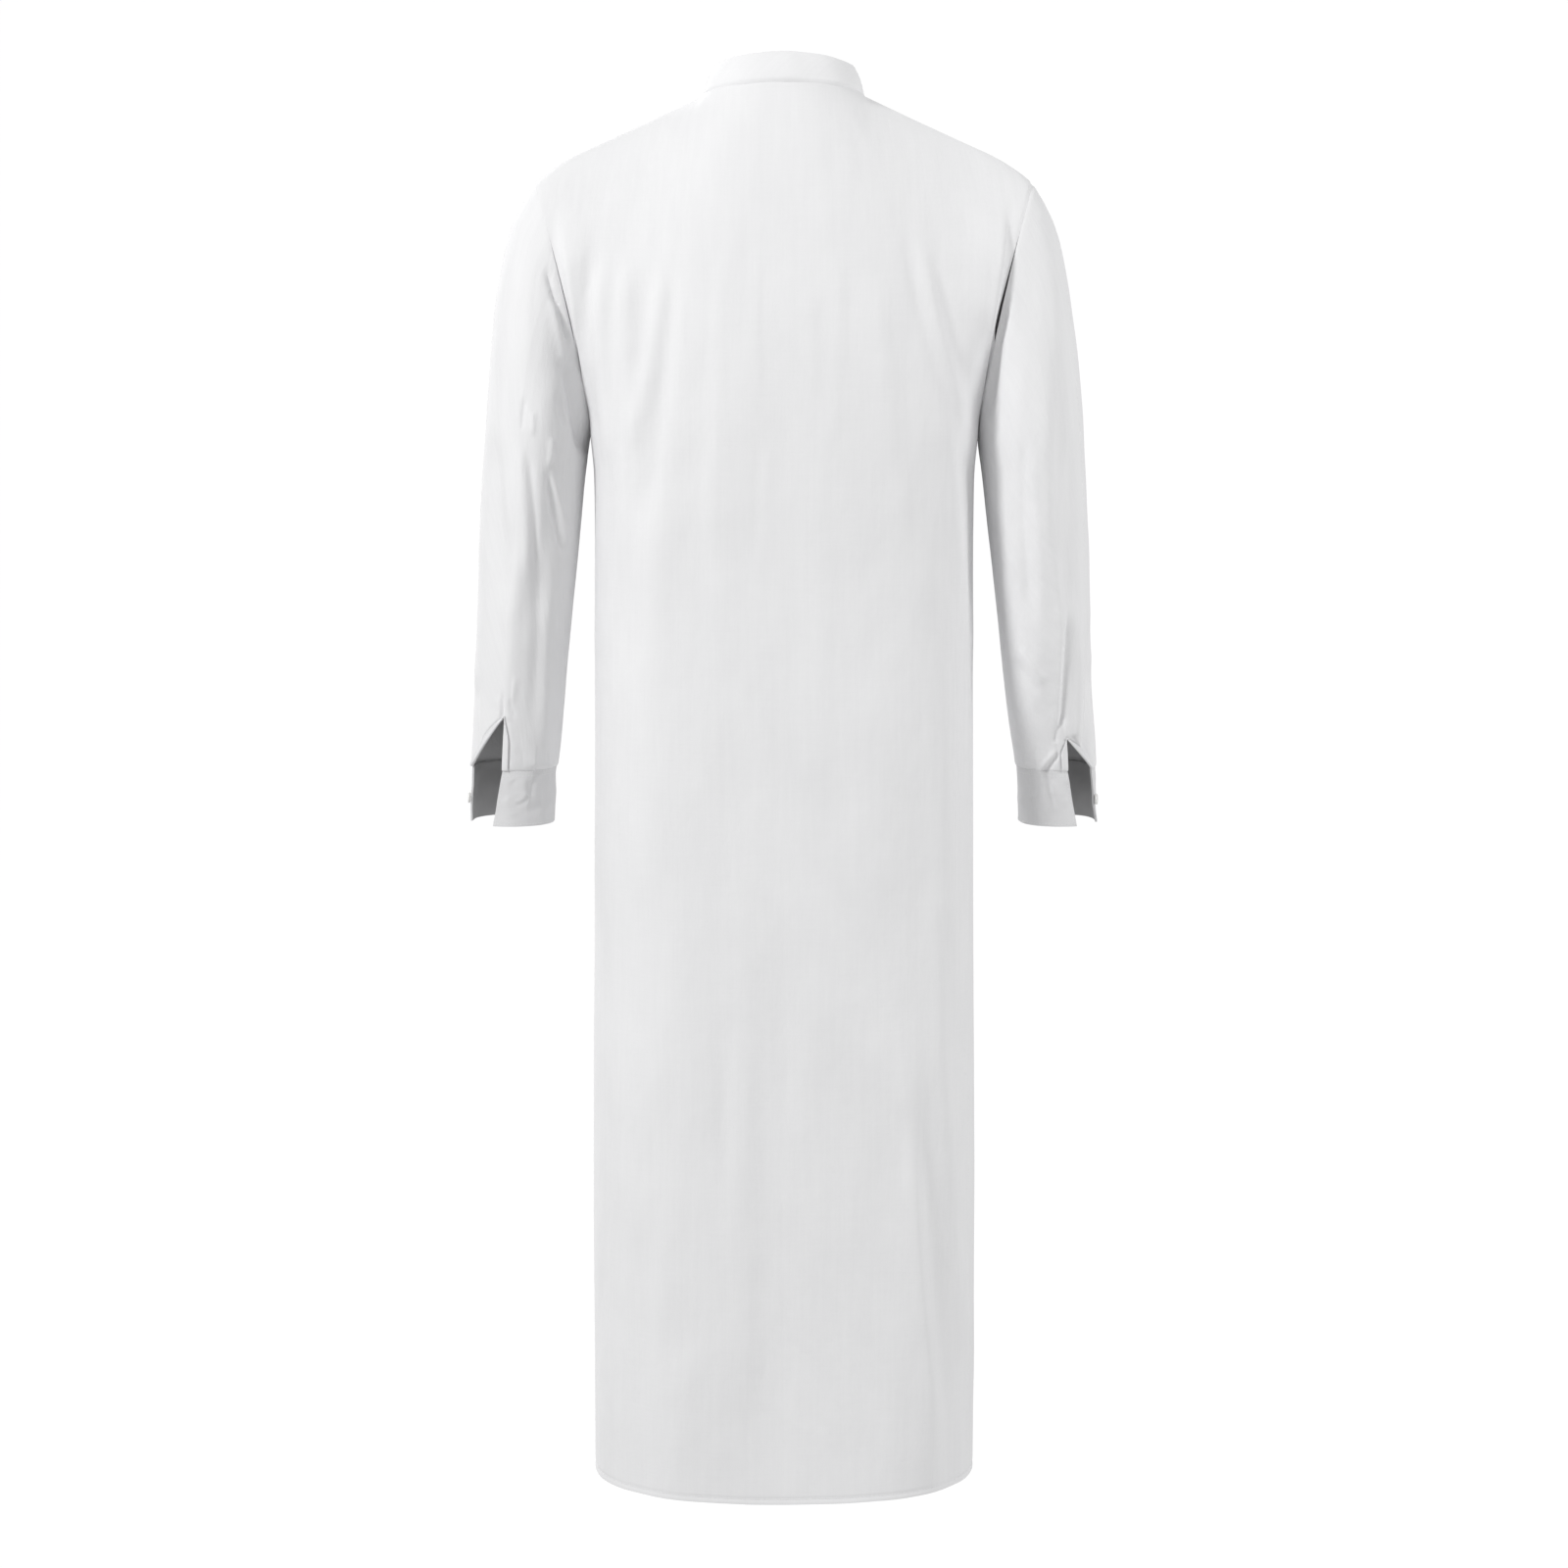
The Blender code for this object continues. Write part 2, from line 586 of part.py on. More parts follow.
def cuff_grid(sleeve, seam_ring):
    """The cuff's outer points: its upper edge is the sleeve's last ring, and its near end turns outward."""
    count = 2 * UPPER_ROWS
    near, _ = slit_angles(sleeve, 1)
    near += math.radians(sleeve["turn"])
    far = near + math.radians(sleeve["open_end"]) - 2 * math.pi
    seam_z = SLEEVE_ROWS[-1][0]
    back_fall = SLEEVE_ROWS[-1][-1]
    top = seam_ring - np.array((0, 0, SEAM_GAP))
    end = []
    for number in sleeve_columns():
        angle = mix(near, far, number / count)
        half_width = CUFF_END["half_width"] - sleeve["narrowing"]
        x = CUFF_END["middle_x"] + sleeve["narrowing"] - half_width * math.cos(angle)
        back = CUFF_END["half_depth"] * math.sin(angle)
        z = seam_z - CUFF_HEIGHT - back_fall * back
        end.append((x, CUFF_END["middle_y"] + back, z))
    end = np.array(end)
    return np.array([mix(top, end, part) for part in CUFF_PARTS])


def mirrored(points, side):
    return points * np.array((side, 1, 1))


def add_sleeve(name, sleeve, panels_out, cloth, band):
    """One sleeve with its cuff and bindings."""
    grid = sleeve_grid(sleeve)
    out = grid_normals(grid, 1)
    columns = sleeve_columns()
    count = 2 * UPPER_ROWS
    for place, number in enumerate(columns):
        low = math.floor(min(number, count - 1))
        ends = [panels_out[(SLIT_ROW - step) % count] for step in (low, low + 1)]
        panel_way = mix(ends[0], ends[1], number - low)
        out[0, place] = seam_direction(out[0, place], panel_way)
    side = sleeve["side"]
    add_wall(f"sleeve_{name}", mirrored(grid, side), mirrored(out, side), WALL, cloth)

    cuff = cuff_grid(sleeve, grid[-1])
    cuff_out = grid_normals(cuff, 1)
    add_wall(f"cuff_{name}", mirrored(cuff, side), mirrored(cuff_out, side), BAND_WALL, band)
    add_cuff_button(name, cuff, cuff_out, side)

    for edge, first, second, top in (("near", 0, 1, -SLIT_STEPS - 1), ("far", -1, -2, -SLIT_STEPS)):
        rim, inner = grid[top:, first], grid[top:, second]
        rim_out, inner_out = out[top:, first], out[top:, second]
        share = BINDING_WIDTH / np.linalg.norm(inner - rim, axis=1, keepdims=True)
        strip = np.stack((rim, mix(rim, inner, share)), axis=1)
        strip_out = np.stack((rim_out, mix(rim_out, inner_out, share)), axis=1)
        strip = strip + strip_out * (STRIP_WALL + STRIP_GAP)
        strip[-1] += np.array((0, 0, SEAM_GAP))
        strip, strip_out = mirrored(strip, side), mirrored(strip_out, side)
        add_wall(f"binding_{name}_{edge}", strip, strip_out, STRIP_WALL, band)


def armhole_ways(back_out, front_out):
    """The ways out of the panels round the left armhole, from the underarm over the back to the shoulder."""
    up_back = list(back_out[LOWER_ROWS:, -1])
    down_front = list(front_out[LOWER_ROWS:, -1])[::-1]
    return np.array(up_back[:-1] + down_front[:-1])


# Small pieces


def add_button(name, place, way, radius, height, material):
    """A sewn-through button with a rounded rim, turned as a profile about its own axis."""
    profile = (
        (0.0, 0.0),
        (radius * 0.86, 0.0),
        (radius, height * 0.5),
        (radius * 0.82, height),
        (radius * 0.62, height * 0.72),
        (0.0, height * 0.70),
    )
    sides = 12
    mesh = bpy.data.meshes.new(name)
    form = bmesh.new()
    rings = []
    for distance, up in profile:
        turns = sides if distance else 1
        ring = []
        for number in range(turns):
            angle = 2 * math.pi * number / turns
            ring.append(form.verts.new((distance * math.cos(angle), distance * math.sin(angle), up)))
        rings.append(ring)
    for low, high in zip(rings, rings[1:]):
        for number in range(sides):
            after = (number + 1) % sides
            below = [low[number % len(low)], low[after % len(low)]]
            above = [high[after % len(high)], high[number % len(high)]]
            form.faces.new(list(dict.fromkeys(below + above)))
    form.to_mesh(mesh)
    form.free()
    button = add_object(name, mesh, material)
    button.location = Vector(place)
    button.rotation_euler = Vector(way).to_track_quat("Z", "Y").to_euler()
    return button


def add_cuff_button(name, cuff, cuff_out, side):
    """The button at the far end of an open cuff."""
    pearl = bpy.data.materials["pearl"]
    row, place = 2, -3
    way = mirrored(cuff_out[row, place], side)
    point = mirrored(cuff[row, place], side) + way * SEAM_GAP * 2
    add_button(f"cuff_button_{name}", point, way, BUTTON_RADIUS * 0.9, BUTTON_HEIGHT, pearl)


def on_front(grid, x, v):
    """The place on the front's own faces at a distance from its middle line and at a row."""
    row = v * LOWER_ROWS if v <= 1 else LOWER_ROWS + (v - 1) * UPPER_ROWS
    low = math.floor(row)
    ends = []
    for line in (grid[low], grid[low + 1]):
        beside = line[HALF_COLUMNS + (1 if x > 0 else -1)]
        ends.append(mix(line[HALF_COLUMNS], beside, x / beside[0]))
    return mix(ends[0], ends[1], row - low)


def add_placket(front, band, pearl):
    """The strip over the neck slit, made from the front's own points, and the buttons on it."""
    rows = [PLACKET_END] + [1 + number / UPPER_ROWS for number in range(UPPER_ROWS)] + [PLACKET_TOP]
    half = PLACKET_WIDTH / 2
    grid = np.array([[on_front(front, x, v) for x in (-half, -half / 2, 0.0, half / 2, half)] for v in rows])
    out = grid_normals(grid, -1)
    grid = grid + out * (STRIP_WALL + STRIP_GAP)
    add_wall("placket", grid, out, STRIP_WALL, band)
    for number, v in enumerate(BUTTON_ROWS, start=1):
        row = min(range(len(rows)), key=lambda place: abs(rows[place] - v))
        way = out[row, 2]
        place = grid[row, 2] + way * SEAM_GAP
        add_button(f"button_{number}", place, way, BUTTON_RADIUS, BUTTON_HEIGHT, pearl)


def add_collar(band):
    """A standing band that follows the neck seam and leans in, with its ends at the middle of the front."""
    end = math.pi - COLLAR_END_GAP / NECK_HALF
    grid = np.zeros((COLLAR_ROWS + 1, COLLAR_COLUMNS + 1, 3))
    for place in range(COLLAR_COLUMNS + 1):
        angle = min(max(mix(-math.pi, math.pi, place / COLLAR_COLUMNS), -end), end)
        base = neck_chord_point(angle)
        middle_name = "back" if math.cos(angle) > 0 else "front"
        to_middle = math.cos(angle) ** 2
        rise = mix(COLLAR_RISE["side"], COLLAR_RISE[middle_name], to_middle)
        lean = mix(COLLAR_LEAN["side"], COLLAR_LEAN[middle_name], to_middle)
        outward = np.array((math.sin(angle), math.cos(angle), 0.0))
        for row in range(COLLAR_ROWS + 1):
            part = row / COLLAR_ROWS
            swell = COLLAR_SWELL * math.sin(math.pi * part)
            up = 2 * SEAM_GAP + rise * part
            grid[row, place] = base + outward * (swell - lean * part) + np.array((0, 0, up))
    out = grid_normals(grid, 1)
    if np.dot(out[0, COLLAR_COLUMNS // 2], (0, 1, 0)) < 0:
        out = -out
    out[0] = into_plane(out[0], axis=2)
    add_wall("collar", grid, out, BAND_WALL, band)


def split_at_middle(grid):
    """Parts the front at its middle above the underarm: the slit that lets the head through."""
    middle = HALF_COLUMNS
    left, right = grid[:, middle].copy(), grid[:, middle].copy()
    right[LOWER_ROWS + 1 :, 0] -= SLIT_HALF_GAP
    left[LOWER_ROWS + 1 :, 0] += SLIT_HALF_GAP
    return np.concatenate((grid[:, :middle], right[:, None], left[:, None], grid[:, middle + 1 :]), axis=1)


def build_kaftan():
    cloth = add_material("white_cloth", WHITE_CLOTH, 0.85)
    band = add_material("white_band", WHITE_BAND, 0.82)
    pearl = add_material("pearl", PEARL, 0.35)

    front = panel_grid("front")
    grids = {"back": panel_grid("back"), "front": split_at_middle(front)}
    slits = {"back": None, "front": HALF_COLUMNS}
    first_shoulder = HALF_COLUMNS - NECK_COLUMNS + 1
    raw, outs = {}, {}
    for name, grid in grids.items():
        raw[name] = grid_normals(grid, FACES[name]["sign"], slits[name])
        outs[name] = raw[name].copy()
        for column_number in (0, -1):
            outs[name][:, column_number] = into_plane(outs[name][:, column_number])
            for corner in (LOWER_ROWS, -1):
                raw[name][corner, column_number] = outs[name][corner, column_number]
        for shoulder in (slice(None, first_shoulder), slice(-first_shoulder, None)):
            outs[name][-1, shoulder] = into_plane(outs[name][-1, shoulder])
    panels_out = armhole_ways(raw["back"], raw["front"])

    sleeve = SLEEVES["left"]
    sleeve_out = grid_normals(sleeve_grid(sleeve), 1)[0]
    whole = [place for place, number in enumerate(sleeve_columns()) if number == int(number)]
    sleeve_ways = np.zeros((2 * UPPER_ROWS, 3))
    for number, place in enumerate(whole[:-1]):
        sleeve_ways[(SLIT_ROW - number) % (2 * UPPER_ROWS)] = sleeve_out[place]
    for name in outs:
        for number in range(UPPER_ROWS + 1):
            turn = number if name == "back" else -number
            way = sleeve_ways[turn % (2 * UPPER_ROWS)]
            row = LOWER_ROWS + number
            joined = seam_direction(raw[name][row, -1], way)
            if number in (0, UPPER_ROWS):
                joined[1] = 0
            outs[name][row, -1] = joined
            outs[name][row, 0] = joined * np.array((-1, 1, 1))
        add_wall(name, grids[name], outs[name], WALL, cloth, slits[name])

    for name, sleeve in SLEEVES.items():
        add_sleeve(name, sleeve, panels_out, cloth, band)
    add_collar(band)
    add_placket(front, band, pearl)


for old in list(bpy.data.objects):
    bpy.data.objects.remove(old)
build_kaftan()
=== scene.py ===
# %% [markdown]
# # A long white kaftan, seen from behind
#
# The garment is worn but stands open and hollow: back and front panels, two set-in sleeves whose wrist
# slits gape, a cuff on each and a band collar. It is plain white cotton, so its looks come from four
# things: the outline, the soft folds, the seams with their stitches, and the weave. Each gets a step of its
# own here.
#
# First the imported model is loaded. It is the fixed frame that every piece has to fit.

import math

import bpy
import numpy as np
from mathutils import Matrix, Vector, noise


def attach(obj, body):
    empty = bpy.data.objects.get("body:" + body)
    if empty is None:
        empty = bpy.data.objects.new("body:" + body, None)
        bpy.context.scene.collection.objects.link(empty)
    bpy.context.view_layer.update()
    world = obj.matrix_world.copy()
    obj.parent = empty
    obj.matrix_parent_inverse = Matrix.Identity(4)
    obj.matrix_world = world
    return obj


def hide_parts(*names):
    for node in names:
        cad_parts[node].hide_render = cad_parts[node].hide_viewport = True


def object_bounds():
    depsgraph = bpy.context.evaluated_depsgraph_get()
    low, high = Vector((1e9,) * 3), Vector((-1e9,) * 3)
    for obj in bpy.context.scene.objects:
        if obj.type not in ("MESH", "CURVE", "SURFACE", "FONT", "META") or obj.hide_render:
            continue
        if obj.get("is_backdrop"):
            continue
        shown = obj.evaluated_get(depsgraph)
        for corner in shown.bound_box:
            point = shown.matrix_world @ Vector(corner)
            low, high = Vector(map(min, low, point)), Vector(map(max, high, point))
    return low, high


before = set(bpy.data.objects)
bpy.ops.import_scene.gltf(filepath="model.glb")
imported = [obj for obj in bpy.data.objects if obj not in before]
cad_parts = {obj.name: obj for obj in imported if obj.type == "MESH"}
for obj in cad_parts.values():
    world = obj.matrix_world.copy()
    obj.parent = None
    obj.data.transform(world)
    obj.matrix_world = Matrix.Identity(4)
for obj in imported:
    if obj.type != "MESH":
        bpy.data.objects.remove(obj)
cad_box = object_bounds()
scene = bpy.context.scene
print("CAD nodes:", ", ".join(sorted(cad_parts)))

# %% [markdown]
# ## Camera
#
# The photo is a level view of the back, framed square. The garment's middle plane is 1.488 m wide in it,
# and the collar and hem bend as they do from about 4 m away. A lens is worked out from those two lengths.

# %% Camera
PIXEL = 0.00093  # metres of the garment's middle plane for each pixel of the photo
PHOTO_WIDTH = 1600
NECK_ROW = 97  # the photo's row of the shoulders' neck points, which is height 0
VIEW_DISTANCE = 4.0
EYE_HEIGHT = (NECK_ROW - PHOTO_WIDTH / 2) * PIXEL

camera_data = bpy.data.cameras.new("camera")
camera_data.sensor_width = 36.0
camera_data.lens = camera_data.sensor_width * VIEW_DISTANCE / (PHOTO_WIDTH * PIXEL)
camera = bpy.data.objects.new("camera", camera_data)
camera.location = (0, VIEW_DISTANCE, EYE_HEIGHT)
camera.rotation_euler = (math.radians(90), 0, math.radians(180))
scene.collection.objects.link(camera)
scene.camera = camera
print(f"lens {camera_data.lens:.1f} mm, eye at {EYE_HEIGHT:.3f} m")

# %% [markdown]
# ## Shader sums
#
# Materials read best as sums. `Wire` wraps an output socket, and each operator on it adds a Math node, or a
# Vector Math node where the value is a vector. `Finish.node` adds any other node: its type, its settings,
# then the values or wires of its sockets.


# %% Wires and finishes
class Wire:
    """An output of a node that can stand in a sum."""

    def __init__(self, finish, socket):
        self.finish = finish
        self.socket = socket

    def _meet(self, operation, first, second):
        values = [first, second]
        if any(isinstance(value, Wire) and value.socket.type == "VECTOR" for value in values):
            values = [value if isinstance(value, (Wire, tuple)) else (value,) * 3 for value in values]
            return self.finish.node("ShaderNodeVectorMath", {"operation": operation}, values)
        return self.finish.node("ShaderNodeMath", {"operation": operation}, values)

    def __add__(self, other):
        return self._meet("ADD", self, other)

    def __radd__(self, other):
        return self._meet("ADD", other, self)

    def __sub__(self, other):
        return self._meet("SUBTRACT", self, other)

    def __rsub__(self, other):
        return self._meet("SUBTRACT", other, self)

    def __mul__(self, other):
        return self._meet("MULTIPLY", self, other)

    def __rmul__(self, other):
        return self._meet("MULTIPLY", other, self)

    def sine(self):
        return self.finish.node("ShaderNodeMath", {"operation": "SINE"}, [self])


class Finish:
    """A material while its nodes are added."""

    def __init__(self, name, roughness, sheen=0.0):
        self.material = bpy.data.materials.new(name)
        self.material.use_nodes = True
        self.tree = self.material.node_tree
        self.shader = self.tree.nodes["Principled BSDF"]
        self.set("Roughness", roughness)
        self.set("Sheen Weight", sheen)
        self.set("Sheen Roughness", 0.5)

    def node(self, kind, settings=None, values=(), output=0):
        node = self.tree.nodes.new(kind)
        for name, value in (settings or {}).items():
            setattr(node, name, value)
        pairs = values.items() if isinstance(values, dict) else enumerate(values)
        for name, value in pairs:
            if isinstance(value, Wire):
                self.tree.links.new(value.socket, node.inputs[name])
            else:
                node.inputs[name].default_value = value
        return Wire(self, node.outputs[output])

    def blend(self, factor, low, high):
        """A colour from low to high."""
        return self.node("ShaderNodeMix", {"data_type": "RGBA"}, {0: factor, 6: low, 7: high}, output=2)

    def set(self, name, value):
        """Gives a socket of the shader a value, or what a wire brings."""
        if isinstance(value, Wire):
            self.tree.links.new(value.socket, self.shader.inputs[name])
        else:
            self.shader.inputs[name].default_value = value


# %% [markdown]
# ## Cotton
#
# The cloth is a plain weave with uneven yarn. Three layers make it: fine warp and weft streaks that tint
# the white by a few hundredths, the weave itself as a small relief, and a broad, shallow crumple that
# ironing never quite takes out. All are laid out on the piece's `cloth` UV map, which is in metres along
# the cut cloth, so the threads turn with a sleeve. Heights go to one Bump node, also in metres.


# %% Cotton
THREAD = 0.0009  # a warp or weft thread and its neighbour, shown a little coarse
STREAK_WIDTH = 0.0016
STREAK_LENGTH = 0.040
# Sizes of noise, across and along the cloth in metres
SLUBS, CLOUDS, RAGS = (0.006, 0.11), (0.05, 0.09), (0.012, 0.012)
BROAD_CRUMPLE, SMALL_CRUMPLE, FINE_CRUMPLE = (0.055, 0.13), (0.016, 0.030), (0.005, 0.012)
SMALL_SHARE, FINE_SHARE_OF_CRUMPLE = 0.30, 0.06  # of the broad crumple's height
WARP_TINT, WEFT_TINT, SLUB_TINT, CLOUD_TINT = 0.18, 0.16, 0.26, 0.40
WEAVE_RISE, YARN_RISE, SLUB_RISE = 0.000016, 0.00003, 0.00008  # metres
RAGGEDNESS = 1.6
PATCH_EDGE = (0.55, 1.3)  # the shares of the patch's size between which it fades out
PATCH_LIFT = 0.12  # how much paler it is


def cotton(name, light, dark, crumple, patch=None):
    """White plain-woven cotton. The patch is a paler place, as its middle in the map and its half sizes."""
    finish = Finish(name, 0.88, sheen=0.30)
    place = finish.node("ShaderNodeUVMap", {"uv_map": "cloth"})

    def streaks(across, along, detail=2.0):
        stretched = place * (1 / across, 1 / along, 1.0)
        values = {"Vector": stretched, "Scale": 1.0, "Detail": detail}
        return finish.node("ShaderNodeTexNoise", {"noise_dimensions": "2D"}, values)

    warp = streaks(STREAK_WIDTH, STREAK_LENGTH)
    weft = streaks(STREAK_LENGTH, STREAK_WIDTH)
    slub = streaks(*SLUBS)
    clouds = streaks(*CLOUDS, 3.0)
    angle = place * (math.pi / THREAD, math.pi / THREAD, 1.0)
    part = finish.node("ShaderNodeSeparateXYZ", None, [angle], output=0)
    other = finish.node("ShaderNodeSeparateXYZ", None, [angle], output=1)
    weave = part.sine() * other.sine()
    tint = warp * WARP_TINT + weft * WEFT_TINT + slub * SLUB_TINT + clouds * CLOUD_TINT
    if patch:
        middle, half = patch
        away = (place - (middle[0], middle[1], 0.0)) * (1 / half[0], 1 / half[1], 1.0)
        reach = finish.node("ShaderNodeVectorMath", {"operation": "LENGTH"}, [away], output="Value")
        ragged = reach + (streaks(*RAGS, 3.0) - 0.5) * RAGGEDNESS
        settings = {"interpolation_type": "SMOOTHSTEP"}
        inside = finish.node("ShaderNodeMapRange", settings, [ragged, *PATCH_EDGE, 1.0, 0.0])
        tint = tint + inside * PATCH_LIFT
    finish.set("Base Color", finish.blend(tint, dark, light))
    height = weave * WEAVE_RISE + (warp + weft) * YARN_RISE + slub * SLUB_RISE
    if crumple:
        broad, small, fine = streaks(*BROAD_CRUMPLE), streaks(*SMALL_CRUMPLE), streaks(*FINE_CRUMPLE)
        height = height + broad * crumple + small * (crumple * SMALL_SHARE)
        height = height + fine * (crumple * FINE_SHARE_OF_CRUMPLE)
    relief = {"Strength": 1.0, "Distance": 1.0, "Height": height}
    finish.set("Normal", finish.node("ShaderNodeBump", None, relief))
    return finish.material


LIGHT_COTTON = (0.86, 0.86, 0.865, 1.0)
DARK_COTTON = (0.76, 0.76, 0.77, 1.0)
COTTON = cotton("cotton", LIGHT_COTTON, DARK_COTTON, 0.0016)
COTTON_BACK = cotton("cotton_back", LIGHT_COTTON, DARK_COTTON, 0.0016, ((-0.020, 0.110), (0.050, 0.040)))
COTTON_BAND = cotton("cotton_band", (0.88, 0.88, 0.885, 1.0), (0.79, 0.79, 0.80, 1.0), 0.0006)
# The cuffs are the same white cotton painted darker: painted shade for the shade low on the sleeves
COTTON_CUFF_PAINTED_SHADE = cotton("cotton_cuff_painted_shade", (0.76, 0.76, 0.765, 1.0), (0.66, 0.66, 0.67, 1.0), 0.0010)
# The inner sides of the sleeves and cuffs are the same white cotton painted darker: painted shade for the
# deep shade inside the wrist slits
SLEEVE_INSIDE_PAINTED_SHADE = cotton("sleeve_inside_painted_shade", (0.76, 0.76, 0.765, 1.0), (0.70, 0.70, 0.71, 1.0), 0.0016)
CUFF_INSIDE_PAINTED_SHADE = cotton("cuff_inside_painted_shade", (0.43, 0.43, 0.435, 1.0), (0.39, 0.39, 0.395, 1.0), 0.0006)
print("cotton finishes:", COTTON.name, COTTON_BACK.name, COTTON_BAND.name)

# %% [markdown]
# ## Thread and buttons
#
# Sewing thread is a touch brighter and shinier than the cloth. The hidden buttons are resin with a faint
# pearl cloud, whose roughness changes with it.

# %% Thread and pearl
thread = Finish("thread", 0.6, sheen=0.2)
spot = thread.node("ShaderNodeTexCoord", None, (), output="Object")
twist = thread.node("ShaderNodeTexNoise", None, {"Vector": spot, "Scale": 900.0, "Detail": 1.0})
thread.set("Base Color", thread.blend(twist, (0.74, 0.74, 0.75, 1.0), (0.88, 0.88, 0.88, 1.0)))
THREAD_WHITE = thread.material

pearl = Finish("pearl", 0.25)
spot = pearl.node("ShaderNodeTexCoord", None, (), output="Object")
values = {"Vector": spot, "Scale": 160.0, "Detail": 3.0, "Distortion": 1.2}
cloud = pearl.node("ShaderNodeTexNoise", None, values)
pearl.set("Base Color", pearl.blend(cloud, (0.80, 0.79, 0.76, 1.0), (0.93, 0.93, 0.92, 1.0)))
pearl.set("Roughness", cloud * 0.15 + 0.18)
pearl.set("Coat Weight", 0.4)
PEARL = pearl.material
print("small finishes:", THREAD_WHITE.name, PEARL.name)

# %% [markdown]
# ## Sizes and sections
#
# The cloth follows the same lines as the solids: the neck seam, the shoulders, the armholes and level
# sections of the body. They are written again here, because the meshes need them far finer than the solids
# do.

# %% Sizes
WALL = 0.0010
BAND_WALL = 0.0018
SEAM_GAP = 0.0003
NECK_HALF = 0.0745
SHOULDER_X = 0.236
SHOULDER_Z = -0.084
SHOULDER_SLOPE = 0.462
ROUNDING_X = 0.190
UNDERARM_X = 0.183
UNDERARM_Z = -0.319
ARMHOLE_DEPTH = 0.062
ARMHOLE_CURVE = 1.3
ARMHOLE_HOLLOW = 0.30  # how much the cloth sinks in at the underarm
HOLLOW_ANGLE = 50
HOLLOW_WIDTH = 38
CREST_OUT = 0.0025  # the fold beside the armhole: how far its crest leans out over the seam
CREST_UP = {"back": 0.014, "front": 0.009}  # and how far it stands off
CREST_LOW, CREST_HIGH = 0.945, 0.885  # its place across the panel, low and high on the armhole
CREST_WIDTH, CREST_INNER_WIDTH = 0.085, 0.30  # towards the seam, and towards the middle
CREST_SEAM = (0.95, 1.0)  # it has come down where the panel meets the sleeve
# Between which heights on the armhole it moves inward, rises and falls
CREST_MOVES = (0.50, 0.85)
LEAN_RISES, LEAN_FALLS = (0.0, 0.15), (0.37, 0.62)
CREST_RISES, CREST_FALLS = (0.02, 0.27), (0.57, 0.97)
INNER_CURVE = 2.0  # how the columns between the armholes run inward, more evenly than the armhole
INNER_SPREAD = 4
SOFTENINGS = 100  # passes that even out the line below each corner of the neck
SOFT_STEP = 0.9
SOFT_SIDE = (0.55, 0.80)  # they fade out between these columns
SOFT_FOOT = (0.0, 0.45)  # they set in between these shares of the armhole's height
SOFT_TOP = (1.84, 2.0)  # and fade out between these rows
UNDERARM_POWER = 56  # how much later a panel turns in towards the armhole at the underarm
TURN_RISES = (0.0, 0.45)  # the share of the armhole's height over which that changes
HEM_SIDE_Z = -1.297
SQUARENESS = 2.4
RIDGE_HEIGHT_POWER = 2.6
RIDGE_ROUNDING = 0.75
NECK_HEIGHT_POWER = 2.2
NECK_SHARE = 5 / 13  # of half a panel's columns
EDGE_POWER = 6

BODY_COLUMNS = ("z", "half_width", "back_depth", "front_depth")
BODY_ROWS = (
    (-0.319, 0.1830, 0.126, 0.124),
    (-0.360, 0.1800, 0.126, 0.127),
    (-0.460, 0.1790, 0.124, 0.130),
    (-0.620, 0.1790, 0.127, 0.132),
    (-0.820, 0.1795, 0.131, 0.133),
    (-1.060, 0.1800, 0.136, 0.136),
    (-1.297, 0.1785, 0.140, 0.139),
)
FACES = {
    "back": dict(sign=1, neck_depth=0.065, neck_z=0.005, neck_bow=1.0, hem_drop=0.017),
    "front": dict(sign=-1, neck_depth=0.070, neck_z=-0.055, neck_bow=1.2, hem_drop=0.012),
}
SLEEVE_COLUMNS = ("middle_z", "middle_x", "half_width", "outer_rise", "half_depth", "middle_y", "back_fall")
SLEEVE_ROWS = (
    (-0.2015, 0.2095, 0.0265, 0.1175, 0.0620, 0.0000, 0.00),
    (-0.2290, 0.2205, 0.0355, 0.1070, 0.0660, 0.0000, 0.00),
    (-0.2655, 0.2285, 0.0405, 0.0945, 0.0700, 0.0000, 0.00),
    (-0.3115, 0.2340, 0.0425, 0.0835, 0.0715, -0.0010, 0.00),
    (-0.3625, 0.2388, 0.0428, 0.0745, 0.0710, -0.0030, 0.01),
    (-0.4185, 0.2432, 0.0428, 0.0635, 0.0690, -0.0070, 0.03),
    (-0.4765, 0.2471, 0.0423, 0.0515, 0.0650, -0.0120, 0.05),
    (-0.5335, 0.2505, 0.0420, 0.0385, 0.0590, -0.0190, 0.08),
    (-0.5850, 0.2543, 0.0417, 0.0230, 0.0510, -0.0270, 0.11),
    (-0.6360, 0.2579, 0.0414, 0.0000, 0.0430, -0.0350, 0.14),
)
SLEEVES = {
    "left": dict(side=1, slit_z=-0.5890, open_seam=68, open_end=62, turn=11, narrowing=0.0),
    "right": dict(side=-1, slit_z=-0.6080, open_seam=46, open_end=53, turn=11, narrowing=0.0025),
}
print("body sections:", len(BODY_ROWS), "sleeve sections:", len(SLEEVE_ROWS))


